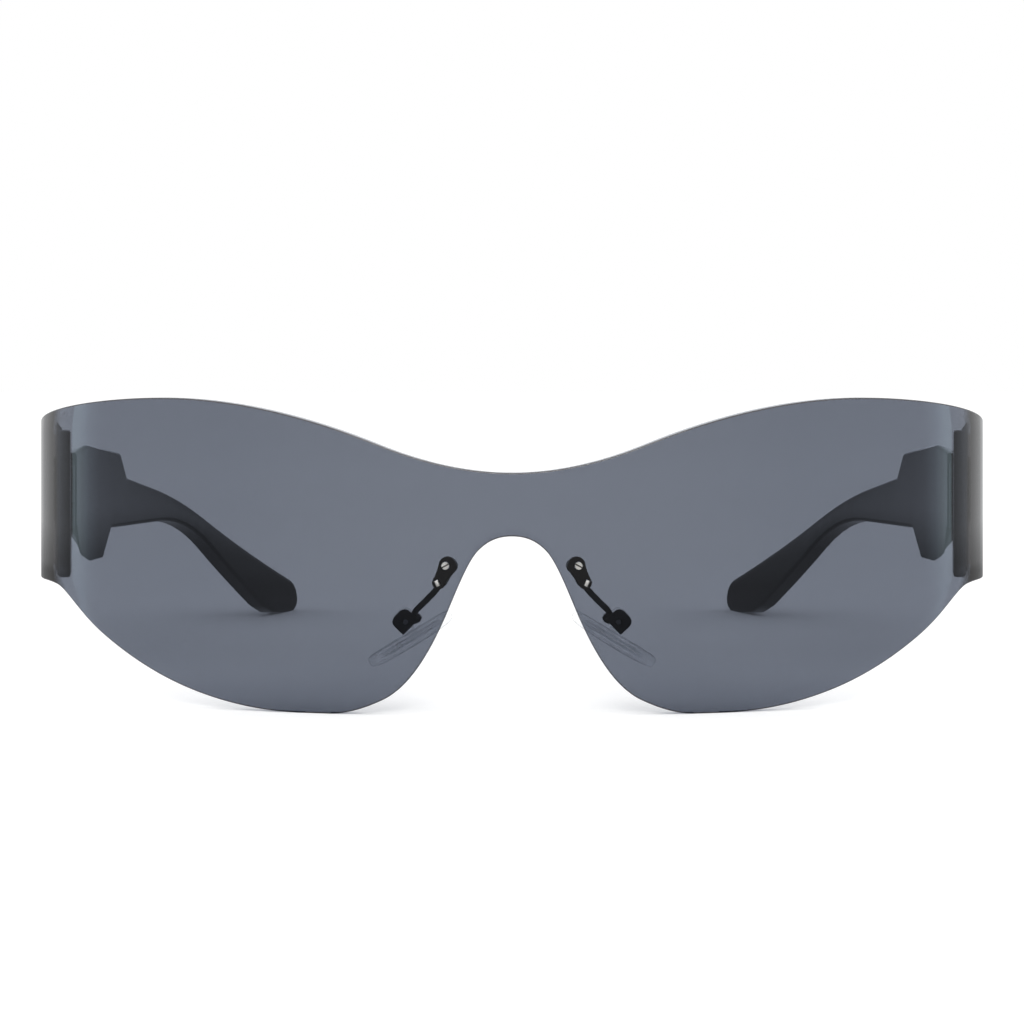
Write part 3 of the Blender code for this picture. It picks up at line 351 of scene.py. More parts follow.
class Tree:
    """A node tree in which each node comes from one method."""

    def __init__(self, tree):
        self.tree = tree

    def node(self, kind, settings=None, links=None):
        """A node of a kind: its settings are set first, then its sockets get values or links."""
        node = self.tree.nodes.new(kind)
        for key, value in (settings or {}).items():
            setattr(node, key, value)
        for key, value in (links or {}).items():
            if isinstance(key, int):
                socket = node.inputs[key]
            else:
                socket = next(s for s in node.inputs if s.enabled and s.name == key)
            for one in value if isinstance(value, list) else [value]:
                if isinstance(one, Wire):
                    self.tree.links.new(one.socket, socket)
                else:
                    socket.default_value = one
        outputs = [s for s in node.outputs if s.enabled]
        return Wire(self, outputs[0]) if outputs else None

    def place(self):
        return self.node("ShaderNodeTexCoord").out("Object")

    def noise(self, scale, detail=2.0, place=None, stretch=None):
        where = place or self.place()
        if stretch:
            where = self.node("ShaderNodeMapping", {}, {"Vector": where, "Scale": stretch})
        sizes = {"Vector": where, "Scale": scale, "Detail": detail}
        return self.node("ShaderNodeTexNoise", {}, sizes)

    def ramp(self, value, *stops):
        """A shade for a value: each stop is a place and a grey or a colour."""
        ramp = self.node("ShaderNodeValToRGB", {}, {"Fac": value})
        elements = ramp.socket.node.color_ramp.elements
        for i, (at, shade) in enumerate(stops):
            stop = elements[i] if i < 2 else elements.new(at)
            stop.position = at
            stop.color = (*(shade if isinstance(shade, tuple) else (shade,) * 3), 1.0)
        return ramp

    def tint(self, share, one, other):
        """A colour between two: colours or wires."""
        one, other = (shade if isinstance(shade, Wire) else (*shade, 1.0) for shade in (one, other))
        settings = {"data_type": "RGBA"}
        return self.node("ShaderNodeMix", settings, {"Factor": share, "A": one, "B": other})

    def bump(self, height, strength, distance):
        sizes = {"Strength": strength, "Distance": distance * MM, "Height": height}
        return self.node("ShaderNodeBump", {}, sizes)

    def blend(self, share, one, other):
        return self.node("ShaderNodeMixShader", {}, {0: share, 1: one, 2: other})

    def facing(self):
        """None where a surface is seen square on, and one where it is seen edge on."""
        return self.node("ShaderNodeLayerWeight", {}, {"Blend": 0.5}).out("Facing")

    def shine(self, head_on, most):
        """Share of light that a smooth clear surface mirrors, from either side of it."""
        share = head_on + (1.0 - head_on) * self.facing() ** 5.0
        return share.math("MINIMUM", share, most)


def new_finish(name):
    material = bpy.data.materials.new(name)
    material.use_nodes = True
    material.node_tree.nodes.clear()
    return material, Tree(material.node_tree)


def surface(tree, shader):
    tree.node("ShaderNodeOutputMaterial", {}, {"Surface": shader})


def clear_sheet(
    name, passed, roughness=0.0, haze=0.0, rim=None, most=0.3, painted_wing_shade=False, from_inside=1.0
):
    """See-through plastic: it passes light straight on, tinted, and mirrors more at a slant.

    A rim is the tint at its very outline and how sharply it starts, and most is the largest
    share that it mirrors. A face with painted wing shade gets painted shade, a dark matt
    colour, on the wing where it is seen at a steep slant: it stands for the light that enters
    the tight curve of the wing there, runs on inside the sheet and ends in the black block
    that is glued to its back. The last value is how much of the mirroring is left where the
    face is seen from inside the sheet.
    """
    material, tree = new_finish(name)
    smear = tree.ramp(tree.noise(55.0, 4.0), (0.35, 0.0), (0.75, 1.0))
    gloss = tree.node("ShaderNodeBsdfAnisotropic", {}, {
        "Color": (0.97, 0.985, 1.0, 1.0),
        "Roughness": roughness + haze * smear,
        "Normal": tree.bump(tree.noise(140.0, 1.0), 0.05, 0.02),
    })
    through = tree.node("ShaderNodeBsdfTransparent", {}, {"Color": (*passed, 1.0)})
    inside = tree.node("ShaderNodeNewGeometry").out("Backfacing")
    if rim:
        dark = tree.node("ShaderNodeBsdfTransparent", {}, {"Color": (*rim[0], 1.0)})
        through = tree.blend((tree.facing() ** rim[1]).clamped(), through, dark)
    # Painted shade on the wing, where the face is seen at a steep slant, in place of the light
    # trapped in the sheet
    if painted_wing_shade:
        back = tree.node("ShaderNodeSeparateXYZ", {}, {"Vector": tree.place()}).out("Y")
        on_wing = back.rise((WING_SHADE_START - MIDDLE_Y) * MM, WING_SHADE_RUN * MM)
        steep = tree.facing().rise(WING_SHADE_FACING, WING_SHADE_FADE)
        painted_shade = tree.node("ShaderNodeBsdfDiffuse", {}, {"Color": (0.012, 0.011, 0.011, 1.0)})
        through = tree.blend(on_wing * steep * (1.0 - inside), through, painted_shade)
    mirrored = tree.shine(CLEAR_SHINE, most) * (1.0 - (1.0 - from_inside) * inside)
    surface(tree, tree.blend(mirrored, through, gloss))
    return material


def moulded_black(name, colour, roughness, grain_scale, grain):
    """Polished black plastic: a faint flow in its shade, rubbed patches and hairline scratches."""
    material, tree = new_finish(name)
    flow = tree.noise(35.0, 3.0, stretch=(1.0, 0.25, 1.0))
    rubbed = tree.ramp(tree.noise(90.0, 5.0), (0.45, 0.0), (0.8, 1.0))
    hairs = tree.ramp(tree.noise(900.0, 2.0, stretch=(1.0, 0.03, 0.6)), (0.62, 0.0), (0.72, 1.0))
    lighter = tuple(shade * 1.7 + 0.002 for shade in colour)
    body = tree.node("ShaderNodeBsdfPrincipled", {}, {
        "Base Color": tree.tint(flow, colour, lighter),
        "Roughness": roughness + 0.06 * rubbed + 0.08 * hairs,
        "IOR": 1.5,
        "Normal": tree.bump(tree.noise(grain_scale, 2.0) + 0.15 * hairs, grain, 0.02),
    })
    surface(tree, body)
    return material


def painted_metal(name, colour, roughness, bare, coat=0.25, metal=0.35):
    """Black stoved paint on metal, with a fine orange peel and bare metal where it rubs."""
    material, tree = new_finish(name)
    place = tree.place()
    worn = tree.ramp(tree.noise(600.0, 6.0, place), (0.68, 0.0), (0.8, 1.0))
    peel = tree.noise(2600.0, 2.0, place)
    body = tree.node("ShaderNodeBsdfPrincipled", {}, {
        "Base Color": tree.tint(worn * 0.25, colour, bare),
        "Roughness": roughness + 0.12 * tree.noise(400.0, 3.0, place),
        "Metallic": metal + (0.85 - metal) * worn,
        "Coat Weight": coat,
        "Coat Roughness": 0.08,
        "Normal": tree.bump(peel, 0.12, 0.02),
    })
    surface(tree, body)
    return material


def bright_steel(name, colour):
    """Nickelled steel with the fine marks of the lathe and a few dark specks."""
    material, tree = new_finish(name)
    place = tree.place()
    marks = tree.noise(5200.0, 2.0, place, stretch=(1.0, 1.0, 0.15))
    specks = tree.ramp(tree.noise(1500.0, 4.0, place), (0.66, 0.0), (0.78, 1.0))
    dull = tuple(shade * 0.45 for shade in colour)
    body = tree.node("ShaderNodeBsdfPrincipled", {}, {
        "Base Color": tree.tint(specks, colour, dull),
        "Roughness": 0.3 + 0.2 * marks,
        "Metallic": 1.0,
        "Normal": tree.bump(marks, 0.2, 0.01),
    })
    surface(tree, body)
    return material


LENS_TINT = (0.378, 0.399, 0.4435)
# The lens front carries painted shade on its wings
LENS_FRONT = clear_sheet("lens_front", LENS_TINT, most=0.5, painted_wing_shade=True)
LENS_BACK = clear_sheet("lens_back", LENS_TINT)
LENS_RIM = clear_sheet("lens_rim", LENS_TINT, roughness=0.1, haze=0.08, from_inside=0.0)
LENS_EDGE = clear_sheet(
    "lens_edge", (0.17, 0.15, 0.15), roughness=0.1, haze=0.08, from_inside=0.2
)
SILICONE = clear_sheet(
    "pad_silicone", (0.985, 0.988, 0.99),
    roughness=0.12, haze=0.1, rim=((0.34, 0.35, 0.38), 12.0), most=0.06,
)
CORE = clear_sheet(
    "pad_core", (0.982, 0.985, 0.987),
    roughness=0.05, haze=0.05, rim=((0.45, 0.46, 0.5), 10.0), most=0.06,
)
ARM_BLACK = moulded_black(
    "arm_black", (0.011, 0.011, 0.012), roughness=0.07, grain_scale=260.0, grain=0.05
)
BLOCK_BLACK = moulded_black(
    "block_black", (0.010, 0.010, 0.011), roughness=0.14, grain_scale=700.0, grain=0.1
)
# Painted shade: a dark matt colour for the floor of each screw slot, in place of the shade in that
# recess
SLOT_SHADE = moulded_black(
    "slot_painted_shade", (0.02, 0.018, 0.016), roughness=0.6, grain_scale=900.0, grain=0.3
)
PLATE_BLACK = painted_metal(
    "plate_black", (0.007, 0.007, 0.008), roughness=0.2, bare=(0.3, 0.3, 0.3), coat=0.1
)
BRACKET_BLACK = painted_metal(
    "bracket_black", (0.2, 0.2, 0.205), roughness=0.26, bare=(0.5, 0.5, 0.49), coat=0.4, metal=0.85
)
HINGE_BLACK = painted_metal(
    "hinge_black", (0.016, 0.016, 0.017), roughness=0.24, bare=(0.35, 0.34, 0.33)
)
STEEL = bright_steel("bright_steel", (0.94, 0.93, 0.9))


# Pieces

def to_room(bm, side):
    """Turn a left-hand drawing in millimetres into either side's place, in metres."""
    if side < 0:
        bmesh.ops.scale(bm, vec=(-1, 1, 1), verts=bm.verts)
        bmesh.ops.reverse_faces(bm, faces=bm.faces)
    bmesh.ops.translate(bm, vec=(0, -MIDDLE_Y, 0), verts=bm.verts)
    bmesh.ops.scale(bm, vec=(MM, MM, MM), verts=bm.verts)


def piece(name, bm, materials, sharp=30.0):
    """An object from a drawing, smooth but for edges sharper than an angle in degrees."""
    mesh = bpy.data.meshes.new(name)
    bm.to_mesh(mesh)
    bm.free()
    for material in materials:
        mesh.materials.append(material)
    mesh.shade_smooth()
    mesh.set_sharp_from_angle(angle=math.radians(sharp))
    obj = bpy.data.objects.new(name, mesh)
    bpy.context.scene.collection.objects.link(obj)
    return obj


def settled(obj):
    """The object with its modifiers worked into a plain mesh."""
    depsgraph = bpy.context.evaluated_depsgraph_get()
    mesh = bpy.data.meshes.new_from_object(obj.evaluated_get(depsgraph), depsgraph=depsgraph)
    obj.modifiers.clear()
    obj.data = mesh
    return obj


def stands_for(obj, node):
    """Show an object in place of a solid, on that solid's body."""
    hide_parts(node)
    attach(obj, frame["nodes"][node]["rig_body"])


def held(value):
    """The value, kept from 0 to 1."""
    return min(max(value, 0.0), 1.0)


def faceted(x, y, z):
    """The lobe of an arm slants from its tall flat inner face to a lower ridge outside, and its
    chin is cut away close behind that face."""
    back = y - AXIS_Y
    inner = AXIS_X - BARREL_RADIUS - ARM_LEAN * back - ARM_BOW * (back / ARM_LENGTH) ** 2
    depth = x - inner
    if z < CHIN_TOP:
        z += (CHIN_TOP - z) * held(depth / CHIN_DEPTH) * held((CHIN_END - back) / CHIN_FADE)
    share = held(depth / ARM_FRONT_THICKNESS) * held((FACET_END - back) / FACET_FADE)
    if z > UPPER_FACET:
        return z - UPPER_SLANT * (z - UPPER_FACET) * share
    if z < LOWER_FACET:
        return z + LOWER_SLANT * (LOWER_AIM - z) * share
    return z


def gusset(x, y, z):
    """The thin flange over a block slopes down from the lens to the block."""
    depth = SIDE_RADIUS - math.hypot(x - SIDE_X, y - SIDE_Y)
    on_back_edge = z > BLOCK_TOP + FLANGE_ABOVE and depth > SHEET + FLANGE_BEHIND
    return BLOCK_TOP + FLANGE_FOOT if on_back_edge else z


def split_chin(bm):
    """Split the faces of a lobe at the depth behind its inner face where its chin has gone."""
    end = (AXIS_Y + LOBE_LENGTH - MIDDLE_Y) * MM
    lobe = [face for face in bm.faces if all(v.co.y < end for v in face.verts)]
    side = math.copysign(1.0, bm.verts[:][0].co.x)
    chin_x = side * (AXIS_X - BARREL_RADIUS + CHIN_DEPTH) * MM
    bmesh.ops.bisect_plane(
        bm,
        geom=list({part for face in lobe for part in (face, *face.edges, *face.verts)}),
        dist=ON_PLANE,
        plane_co=(chin_x, (AXIS_Y - MIDDLE_Y) * MM, 0.0),
        plane_no=(side, ARM_LEAN, 0.0),
    )


def dressed(node, material, rounding=0.0, segments=2, angle=32.0, shape=None):
    """Show a solid with its corners broken, and with flat faces that stay flat in the light."""
    bm = bmesh.new()
    bm.from_mesh(frame["nodes"][node].data)
    bmesh.ops.remove_doubles(bm, verts=bm.verts, dist=SAME_PLACE)
    flat = math.radians(FLAT_ANGLE)
    bmesh.ops.dissolve_limit(bm, angle_limit=flat, verts=bm.verts, edges=bm.edges)
    if shape == faceted:
        split_chin(bm)
    if shape:
        for vert in bm.verts:
            x, y, z = abs(vert.co.x) / MM, vert.co.y / MM + MIDDLE_Y, vert.co.z / MM
            vert.co.z = shape(x, y, z) * MM
    for face in bm.faces:
        face.material_index = 0
    obj = piece(f"{node}_finish", bm, [material], angle)
    loose_normals = obj.data.attributes.get("custom_normal")
    if loose_normals:
        obj.data.attributes.remove(loose_normals)
    if rounding:
        bevel = obj.modifiers.new("broken corners", "BEVEL")
        bevel.width = rounding * MM
        bevel.segments = segments
        bevel.limit_method = "ANGLE"
        bevel.angle_limit = math.radians(angle)
        bevel.harden_normals = False
    weighted = obj.modifiers.new("flat faces", "WEIGHTED_NORMAL")
    weighted.mode = "FACE_AREA"
    weighted.keep_sharp = True
    stands_for(settled(obj), node)


def lens_section(along):
    """Upright section of the lens with rounded edges: (depth, height) points that run up its
    front and down its back."""
    top, bottom = lens_top(along), lens_bottom(along)
    r = EDGE_BREAK
    turns = [math.radians(90.0 / EDGE_STEPS * k) for k in range(EDGE_STEPS + 1)]
    points = []
    for k in range(LENS_ROWS + 1):
        points.append((0.0, bottom + r + (top - bottom - 2 * r) * k / LENS_ROWS))
    points += [(r - r * math.cos(a), top - r + r * math.sin(a)) for a in turns[1:]]
    points += [(SHEET - r + r * math.sin(a), top - r + r * math.cos(a)) for a in turns]
    for k in range(1, LENS_ROWS + 1):
        points.append((SHEET, top - r - (top - bottom - 2 * r) * k / LENS_ROWS))
    points += [(SHEET - r + r * math.cos(a), bottom + r - r * math.sin(a)) for a in turns[1:]]
    points += [(r - r * math.sin(a), bottom + r - r * math.cos(a)) for a in turns[:-1]]
    return points


def lens_columns():
    """Distances along the front at which the lens is cut into sections, from wing to wing."""
    half = []
    along = 0.0
    corner = WING_END - WING_CORNER
    while along < corner - LEAST_COLUMN:
        half.append(along)
        along += ARCH_COLUMN if along < FOOT_AT else SIDE_COLUMN
    for k in range(CORNER_COLUMNS + 1):
        half.append(corner + WING_CORNER * math.sin(math.radians(90 * k / CORNER_COLUMNS)))
    return [-a for a in reversed(half[1:])] + half


def make_lens():
    bm = bmesh.new()
    loops = []
    for along in lens_columns():
        section = lens_section(along)
        loops.append([bm.verts.new((*lens_plan(along, depth), z)) for depth, z in section])
    count = len(loops[0])
    finishes = [LENS_FRONT, LENS_BACK, LENS_RIM, LENS_EDGE]
    front, back, rim, edge = range(len(finishes))
    back_start = LENS_ROWS + 2 * EDGE_STEPS + 1
    back_end = back_start + LENS_ROWS
    for near, far in zip(loops, loops[1:]):
        for i in range(count):
            j = (i + 1) % count
            face = bm.faces.new((near[i], near[j], far[j], far[i]))
            if i < LENS_ROWS:
                face.material_index = front
            elif back_start <= i < back_end:
                face.material_index = back
            elif LENS_ROWS + EDGE_STEPS <= i <= back_end + EDGE_STEPS:
                face.material_index = rim
            else:
                face.material_index = edge
    for loop in (list(reversed(loops[0])), loops[-1]):
        cap = bm.faces.new(loop)
        cap.material_index = edge
    bmesh.ops.recalc_face_normals(bm, faces=bm.faces)
    to_room(bm, 1)
    stands_for(piece("shield_lens_sheet", bm, finishes, sharp=40.0), "shield_lens")


# Screws and pads, from node trees with named sizes

def shape_tree(name, sizes):
    """An empty geometry tree with a named input for each size, and a wire from each input."""
    group = bpy.data.node_groups.new(name, "GeometryNodeTree")
    for label in sizes:
        group.interface.new_socket(label, in_out="INPUT", socket_type="NodeSocketFloat")
    group.interface.new_socket("Material", in_out="INPUT", socket_type="NodeSocketMaterial")
    group.interface.new_socket("Geometry", in_out="OUTPUT", socket_type="NodeSocketGeometry")
    tree = Tree(group)
    entry = tree.node("NodeGroupInput")
    return group, tree, entry, {label: entry.out(label) for label in sizes}


def finish_shape(tree, shape, entry):
    real = tree.node("GeometryNodeRealizeInstances", {}, {"Geometry": shape})
    coat = {"Geometry": real, "Material": entry.out("Material")}
    painted = tree.node("GeometryNodeSetMaterial", {}, coat)
    tree.node("NodeGroupOutput", {}, {"Geometry": painted})


def vector(tree, x, y, z):
    return tree.node("ShaderNodeCombineXYZ", {}, {"X": x, "Y": y, "Z": z})


def lifted(tree, shape, lift):
    move = {"Geometry": shape, "Translation": vector(tree, 0.0, 0.0, lift)}
    return tree.node("GeometryNodeTransform", {}, move)


def screw_tree():
    """A shank and a round head whose slot, or cross of two slots, is cut from its top."""
    group, tree, entry, size = shape_tree("screw", (
        "Shank Radius", "Shank Length", "Head Radius", "Head Height",
        "Slot Width", "Slot Depth", "Cross",
    ))

    def rod(radius, length, lift):
        round_bar = {"Vertices": ROD_SIDES, "Radius": radius, "Depth": length}
        return lifted(tree, tree.node("GeometryNodeMeshCylinder", {}, round_bar), lift)

    def cut(width, length, lift):
        bar = vector(tree, length, width, size["Slot Depth"] * 2.0)
        return lifted(tree, tree.node("GeometryNodeMeshCube", {}, {"Size": bar}), lift)

    top = size["Shank Length"] + size["Head Height"]
    middle = size["Shank Length"] + size["Head Height"] * 0.5
    head = rod(size["Head Radius"], size["Head Height"], middle)
    shank = rod(size["Shank Radius"], size["Shank Length"], size["Shank Length"] * 0.5)
    reach = OPEN_SLOT - (OPEN_SLOT - CROSS_SLOT) * size["Cross"]
    one = cut(size["Slot Width"], size["Head Radius"] * reach, top)
    crossing = size["Head Radius"] * CROSS_SLOT * size["Cross"] + NO_SLOT
    other = cut(crossing, size["Slot Width"], top)
    difference = {"operation": "DIFFERENCE", "solver": "EXACT"}
    slotted = tree.node("GeometryNodeMeshBoolean", difference, {0: head, 1: [one, other]})
    whole = tree.node("GeometryNodeJoinGeometry", {}, {"Geometry": [shank, slotted]})
    finish_shape(tree, whole, entry)
    return group


def pad_tree():
    """A soft pad: a rounded oblong with a flat back and a crowned face, by a power rule."""
    group, tree, entry, size = shape_tree("pad", (
        "Length", "Width", "Thickness", "Squareness", "Taper", "Shift",
    ))
    grid = tree.node("GeometryNodeMeshCylinder", {"fill_type": "TRIANGLE_FAN"}, {
        "Vertices": PAD_SIDES, "Side Segments": PAD_RINGS, "Radius": 1.0, "Depth": 1.0,
    })
    place = tree.node("GeometryNodeInputPosition")
    split = tree.node("ShaderNodeSeparateXYZ", {}, {"Vector": place})
    x, y, z = split.out("X"), split.out("Y"), split.out("Z")

    def powered(value, power):
        return value.math("SIGN", value, 0.0) * abs(value) ** power

    power = 2.0 / size["Squareness"]
    level = (0.5 - z).clamped()
    edge = 1.0 - (1.0 - (level * PAD_EDGE_RATE).clamped()) ** 2.0 * PAD_EDGE
    crown = (level - 0.5).clamped() / 0.5
    share = edge * (1.0 - crown ** PAD_CROWN).clamped() ** PAD_CROWN_ROOT
    wide = powered(x, power)
    high = powered(y, power) * (1.0 + size["Taper"] * wide)
    new_place = vector(
        tree,
        size["Shift"] + wide * share * size["Length"] * 0.5,
        high * share * size["Width"] * 0.5,
        -size["Thickness"] * level,
    )
    moved = tree.node("GeometryNodeSetPosition", {}, {"Geometry": grid, "Position": new_place})
    weld = {"Geometry": moved, "Distance": PAD_WELD}
    finish_shape(tree, tree.node("GeometryNodeMergeByDistance", {}, weld), entry)
    return group


def grown(name, group, material, sizes, matrix, side, sharp=30.0):
    """Run a shape tree with its sizes, and put the result in its place in the drawing.

    The floor of a screw's slot gets a finish of its own: painted shade, a dark matt colour.
    """
    holder = bpy.data.objects.new(name, bpy.data.meshes.new(name))
    bpy.context.scene.collection.objects.link(holder)
    modifier = holder.modifiers.new(group.name, "NODES")
    modifier.node_group = group
    for item in group.interface.items_tree:
        if item.in_out == "INPUT":
            value = material if item.name == "Material" else float(sizes[item.name])
            modifier[item.identifier] = value
    settled(holder)
    bm = bmesh.new()
    bm.from_mesh(holder.data)
    bpy.data.objects.remove(holder)
    materials = [material]
    for face in bm.faces:
        face.material_index = 0
    # Painted shade on the floors of screw slots
    if "Slot Depth" in sizes:
        materials.append(SLOT_SHADE)
        floor = sizes["Shank Length"] + sizes["Head Height"] - sizes["Slot Depth"]
        for face in bm.faces:
            height = face.calc_center_median().z
            if face.normal.z > FLOOR_FACING and abs(height - floor) < FLOOR_WITHIN:
                face.material_index = 1
    bmesh.ops.transform(bm, matrix=matrix, verts=bm.verts)
    bmesh.ops.remove_doubles(bm, verts=bm.verts, dist=DRAWING_WELD)
    bmesh.ops.recalc_face_normals(bm, faces=bm.faces)
    to_room(bm, side)
    return piece(name, bm, materials, sharp)


def lens_matrix(along, height):
    x, y = lens_plan(along)
    return Matrix.Translation((x, y, height)) @ Matrix.Rotation(turn_at(along), 4, "Z")


def turned(degrees, axis):
    return Matrix.Rotation(math.radians(degrees), 4, axis)


def make_screws(side_name, side, group):
    reach = SHEET + 2 * (BOND_GAP + PLATE_THICKNESS)
    slotted = {
        "Shank Radius": BRACKET_SCREW_RADIUS * SHANK_SHARE,
        "Shank Length": reach - BRACKET_SCREW_HEAD,
        "Head Radius": BRACKET_SCREW_RADIUS, "Head Height": BRACKET_SCREW_HEAD,
        "Slot Width": 0.2, "Slot Depth": 0.16, "Cross": 0.0,
    }
    back = SHEET + BOND_GAP + PLATE_THICKNESS
    place = lens_matrix(BRACKET_AT, BRACKET_HEIGHT) @ Matrix.Translation((0, back, 0))
    place = place @ turned(90, "X") @ turned(SLOT_TURN, "Z")
    screw = grown(f"{side_name}_plate_screw", group, STEEL, slotted, place, side)
    stands_for(screw, f"{side_name}_bracket_screw")

    crossed = {
        "Shank Radius": 0.36, "Shank Length": BOX_DEPTH + JOINT_GAP,
        "Head Radius": 0.75, "Head Height": 0.5,
        "Slot Width": 0.2, "Slot Depth": 0.22, "Cross": 1.0,
    }
    place = Matrix.Translation(PAD_SCREW_AT) @ turned(-90, "X")
    screw = grown(f"{side_name}_box_screw", group, STEEL, crossed, place, side)
    stands_for(screw, f"{side_name}_pad_screw")

    pivot = {
        "Shank Radius": PIN_RADIUS, "Shank Length": HINGE_HEIGHT + JOINT_GAP,
        "Head Radius": 1.0, "Head Height": 0.5,
        "Slot Width": 0.3, "Slot Depth": 0.3, "Cross": 0.0,
    }
    place = Matrix.Translation((AXIS_X, AXIS_Y, HINGE_BOTTOM))
    screw = grown(f"{side_name}_pivot", group, HINGE_BLACK, pivot, place, side)
    stands_for(screw, f"{side_name}_hinge_screw")


def make_peg(side_name, side):
    """A square peg whose riveted end stands as proud as the screw."""
    lean = math.radians(PIN_LEAN)
    step = (PIN_SPACING * math.sin(lean), 0, -PIN_SPACING * math.cos(lean))
    place = lens_matrix(BRACKET_AT, BRACKET_HEIGHT) @ Matrix.Translation(step)
    place = place @ turned(PIN_LEAN, "Y")
    front = -(PLATE_THICKNESS + BOND_GAP)
    back = SHEET + BOND_GAP + PLATE_THICKNESS
    bm = bmesh.new()
    bmesh.ops.create_cube(bm, size=1.0)
    for vert in bm.verts:
        x, y, z = vert.co
        vert.co = (x * PEG_WIDTH, front + (y + 0.5) * (back - front), z * PEG_HEIGHT)
    bmesh.ops.bevel(
        bm, geom=bm.edges[:], offset=PEG_EDGE, segments=3, profile=0.6, affect="EDGES"
    )
    bmesh.ops.transform(bm, matrix=place, verts=bm.verts)
    to_room(bm, side)
    stands_for(piece(f"{side_name}_peg", bm, [STEEL]), f"{side_name}_bracket_peg")


def make_pad(side_name, side, group):
    sizes = {
        "Length": PAD_LENGTH, "Width": PAD_WIDTH, "Thickness": PAD_THICKNESS,
        "Squareness": PAD_SQUARENESS, "Taper": PAD_TAPER, "Shift": PAD_SHIFT,
    }
    x, y, z = PAD_SCREW_AT
    place = Matrix.Translation((x, y + BOX_DEPTH / 2, z)) @ turned(PAD_LEAN, "Y")
    place = place @ Matrix.Translation((0, 0, -PAD_BACK)) @ turned(PAD_SPLAY, "X")
    pad = grown(f"{side_name}_soft_pad", group, SILICONE, sizes, place, side, sharp=50.0)
    stands_for(pad, f"{side_name}_nose_pad")


def make_glasses():
    make_lens()
    screws, pads = screw_tree(), pad_tree()
    for side_name, side in SIDES.items():
        dressed(f"{side_name}_endpiece", BLOCK_BLACK, 0.04, shape=gusset)
        dressed(f"{side_name}_temple", ARM_BLACK, 0.45, segments=3, angle=34.0, shape=faceted)
        dressed(f"{side_name}_front_leaf", HINGE_BLACK, 0.04)
        dressed(f"{side_name}_temple_leaf", HINGE_BLACK, 0.04)
        dressed(f"{side_name}_washer_plate", PLATE_BLACK, 0.1)
        dressed(f"{side_name}_pad_bracket", BRACKET_BLACK, 0.2, segments=3)
        dressed(f"{side_name}_pad_core", CORE, 0.04)
        make_screws(side_name, side, screws)
        make_peg(side_name, side)
        make_pad(side_name, side, pads)


make_glasses()


# Table, light and camera

def room_shade(tree, x, y):
    """What polished surfaces see in a level direction: a dim room in front, a cool panel
    straight to each side and a little behind that, and a paler room behind."""
    behind = 0.5 + 0.5 * (y / (x * x + y * y + 1e-6) ** 0.5)
    front = (0.0, 0.2), (0.12, 0.08), (0.31, 0.1), (0.4, (0.24, 0.26, 0.27))
    panel = (0.49, (0.68, 0.84, 0.9)), (0.55, (0.7, 0.86, 0.92)), (0.563, 0.28)
    rear = (0.71, 0.31), (0.79, 0.46), (0.86, 0.43), (0.92, 0.37), (0.96, 0.42), (1.0, 0.68)
    return tree.ramp(behind, *front, *panel, *rear)


def make_table():
    """White table, lit evenly to the eye, with painted light on a band just behind the lens,
    across its shadow. Polished surfaces see the room mirrored in it, with headings taken from
    the wing of the lens, and dimmer close to the glasses."""
    bm = bmesh.new()
    bmesh.ops.create_grid(bm, x_segments=4, y_segments=4, size=TABLE_HALF)
    table = piece("table", bm, [])
    material, tree = new_finish("white_table")
    split = tree.node("ShaderNodeSeparateXYZ", {}, {"Vector": tree.place()})
    x, y = split.out("X"), split.out("Y")
    reach = (x * x + y * y) ** 0.5
    rays = tree.node("ShaderNodeLightPath")
    shade = tree.tint(tree.noise(60.0, 3.0), (0.86, 0.86, 0.86), (0.88, 0.88, 0.88))
    matt = tree.node("ShaderNodeBsdfDiffuse", {}, {"Color": shade})
    # Painted light: a glow on the table just behind the lens, where its shadow falls
    painted_lens_light = y.rise(*PAINTED_LIGHT_START) * (1.0 - y.rise(*PAINTED_LIGHT_END))
    lift = TABLE_LIFT + FAR_LIFT * reach.rise(*FAR_TABLE) + PAINTED_LIGHT_LIFT * painted_lens_light
    glow = tree.node("ShaderNodeEmission", {}, {
        "Color": (1.0, 1.0, 1.0, 1.0), "Strength": rays.out("Is Camera Ray") * lift,
    })
    lit = tree.node("ShaderNodeAddShader", {}, {0: matt, 1: glow})
    near = NEAR_SHARE + (1.0 - NEAR_SHARE) * reach.rise(*DIM_TABLE)
    mirrored = tree.node("ShaderNodeEmission", {}, {
        "Color": room_shade(tree, abs(x) - WING_X, y - WING_Y),
        "Strength": MIRRORED_STRENGTH * near,
    })
    surface(tree, tree.blend(rays.out("Is Glossy Ray"), lit, mirrored))
    table.data.materials.append(material)


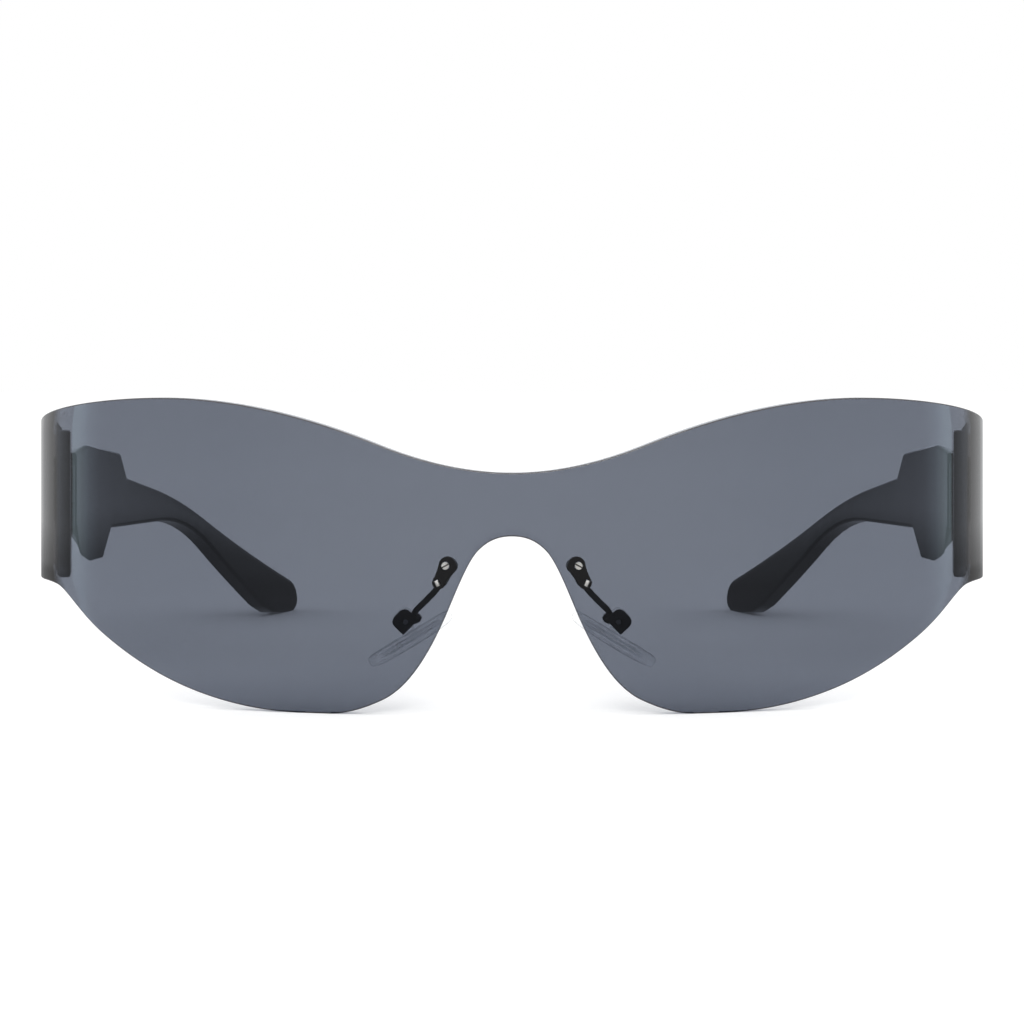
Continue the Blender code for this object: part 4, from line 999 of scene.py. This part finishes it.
def make_world():
    """Plain white to the eye. Polished surfaces see a room with a soft light overhead and one
    straight behind."""
    world = bpy.data.worlds.new("white room")
    bpy.context.scene.world = world
    world.use_nodes = True
    world.node_tree.nodes.clear()
    tree = Tree(world.node_tree)
    way = tree.node("ShaderNodeTexCoord").out("Generated")
    split = tree.node("ShaderNodeSeparateXYZ", {}, {"Vector": way})
    x, y, z = split.out("X"), split.out("Y"), split.out("Z")
    white = (z.rise(*OVERHEAD) + y.rise(*STRAIGHT_BEHIND)).clamped()
    mirrored = tree.tint(white, room_shade(tree, x, y), (1.0, 1.0, 1.0))
    rays = tree.node("ShaderNodeLightPath")
    seen, gloss = rays.out("Is Camera Ray"), rays.out("Is Glossy Ray")
    colour = tree.tint(gloss, (1.0, 1.0, 1.0), mirrored)
    other = (1.0 - seen) * (1.0 - gloss)
    strength = seen + gloss * MIRRORED_STRENGTH + other * ROOM_STRENGTH
    back = tree.node("ShaderNodeBackground", {}, {"Color": colour, "Strength": strength})
    tree.node("ShaderNodeOutputWorld", {}, {"Surface": back})


def lamp(name, place, aim, size, power, mirrored=True):
    data = bpy.data.lights.new(name, "AREA")
    data.shape = "RECTANGLE"
    data.size, data.size_y = size
    data.energy = power
    obj = bpy.data.objects.new(name, data)
    obj.location = place
    obj.visible_glossy = mirrored
    obj.rotation_euler = (Vector(aim) - Vector(place)).to_track_quat("-Z", "Y").to_euler()
    bpy.context.scene.collection.objects.link(obj)


def make_lights():
    """A weak panel at each side that nothing mirrors, and a brighter one high in front."""
    for side in SIDES.values():
        lamp(
            f"side_panel_{side}", place=(side * 0.55, -0.13, 0.2), aim=(0.0, -0.06, 0.04),
            size=(0.7, 0.32), power=0.8, mirrored=False,
        )
    lamp("key_panel", place=(0.0, -0.9, 0.5), aim=(0.0, -0.05, 0.0), size=(0.5, 0.3), power=3.7)


def make_camera():
    data = bpy.data.cameras.new("camera")
    data.sensor_width = SENSOR
    data.lens = FOCAL_LENGTH / PICTURE * SENSOR
    data.shift_y = -(PICTURE / 2 - HORIZON) / PICTURE
    data.clip_start = 0.01
    data.clip_end = 50.0
    obj = bpy.data.objects.new("camera", data)
    obj.location = (0.0, -(MIDDLE_Y + CAMERA_DISTANCE) * MM, CAMERA_HEIGHT * MM)
    obj.rotation_euler = (math.radians(90), 0.0, 0.0)
    bpy.context.scene.collection.objects.link(obj)
    bpy.context.scene.camera = obj


make_table()
make_world()
make_lights()
make_camera()
bpy.context.scene.view_settings.view_transform = "Standard"
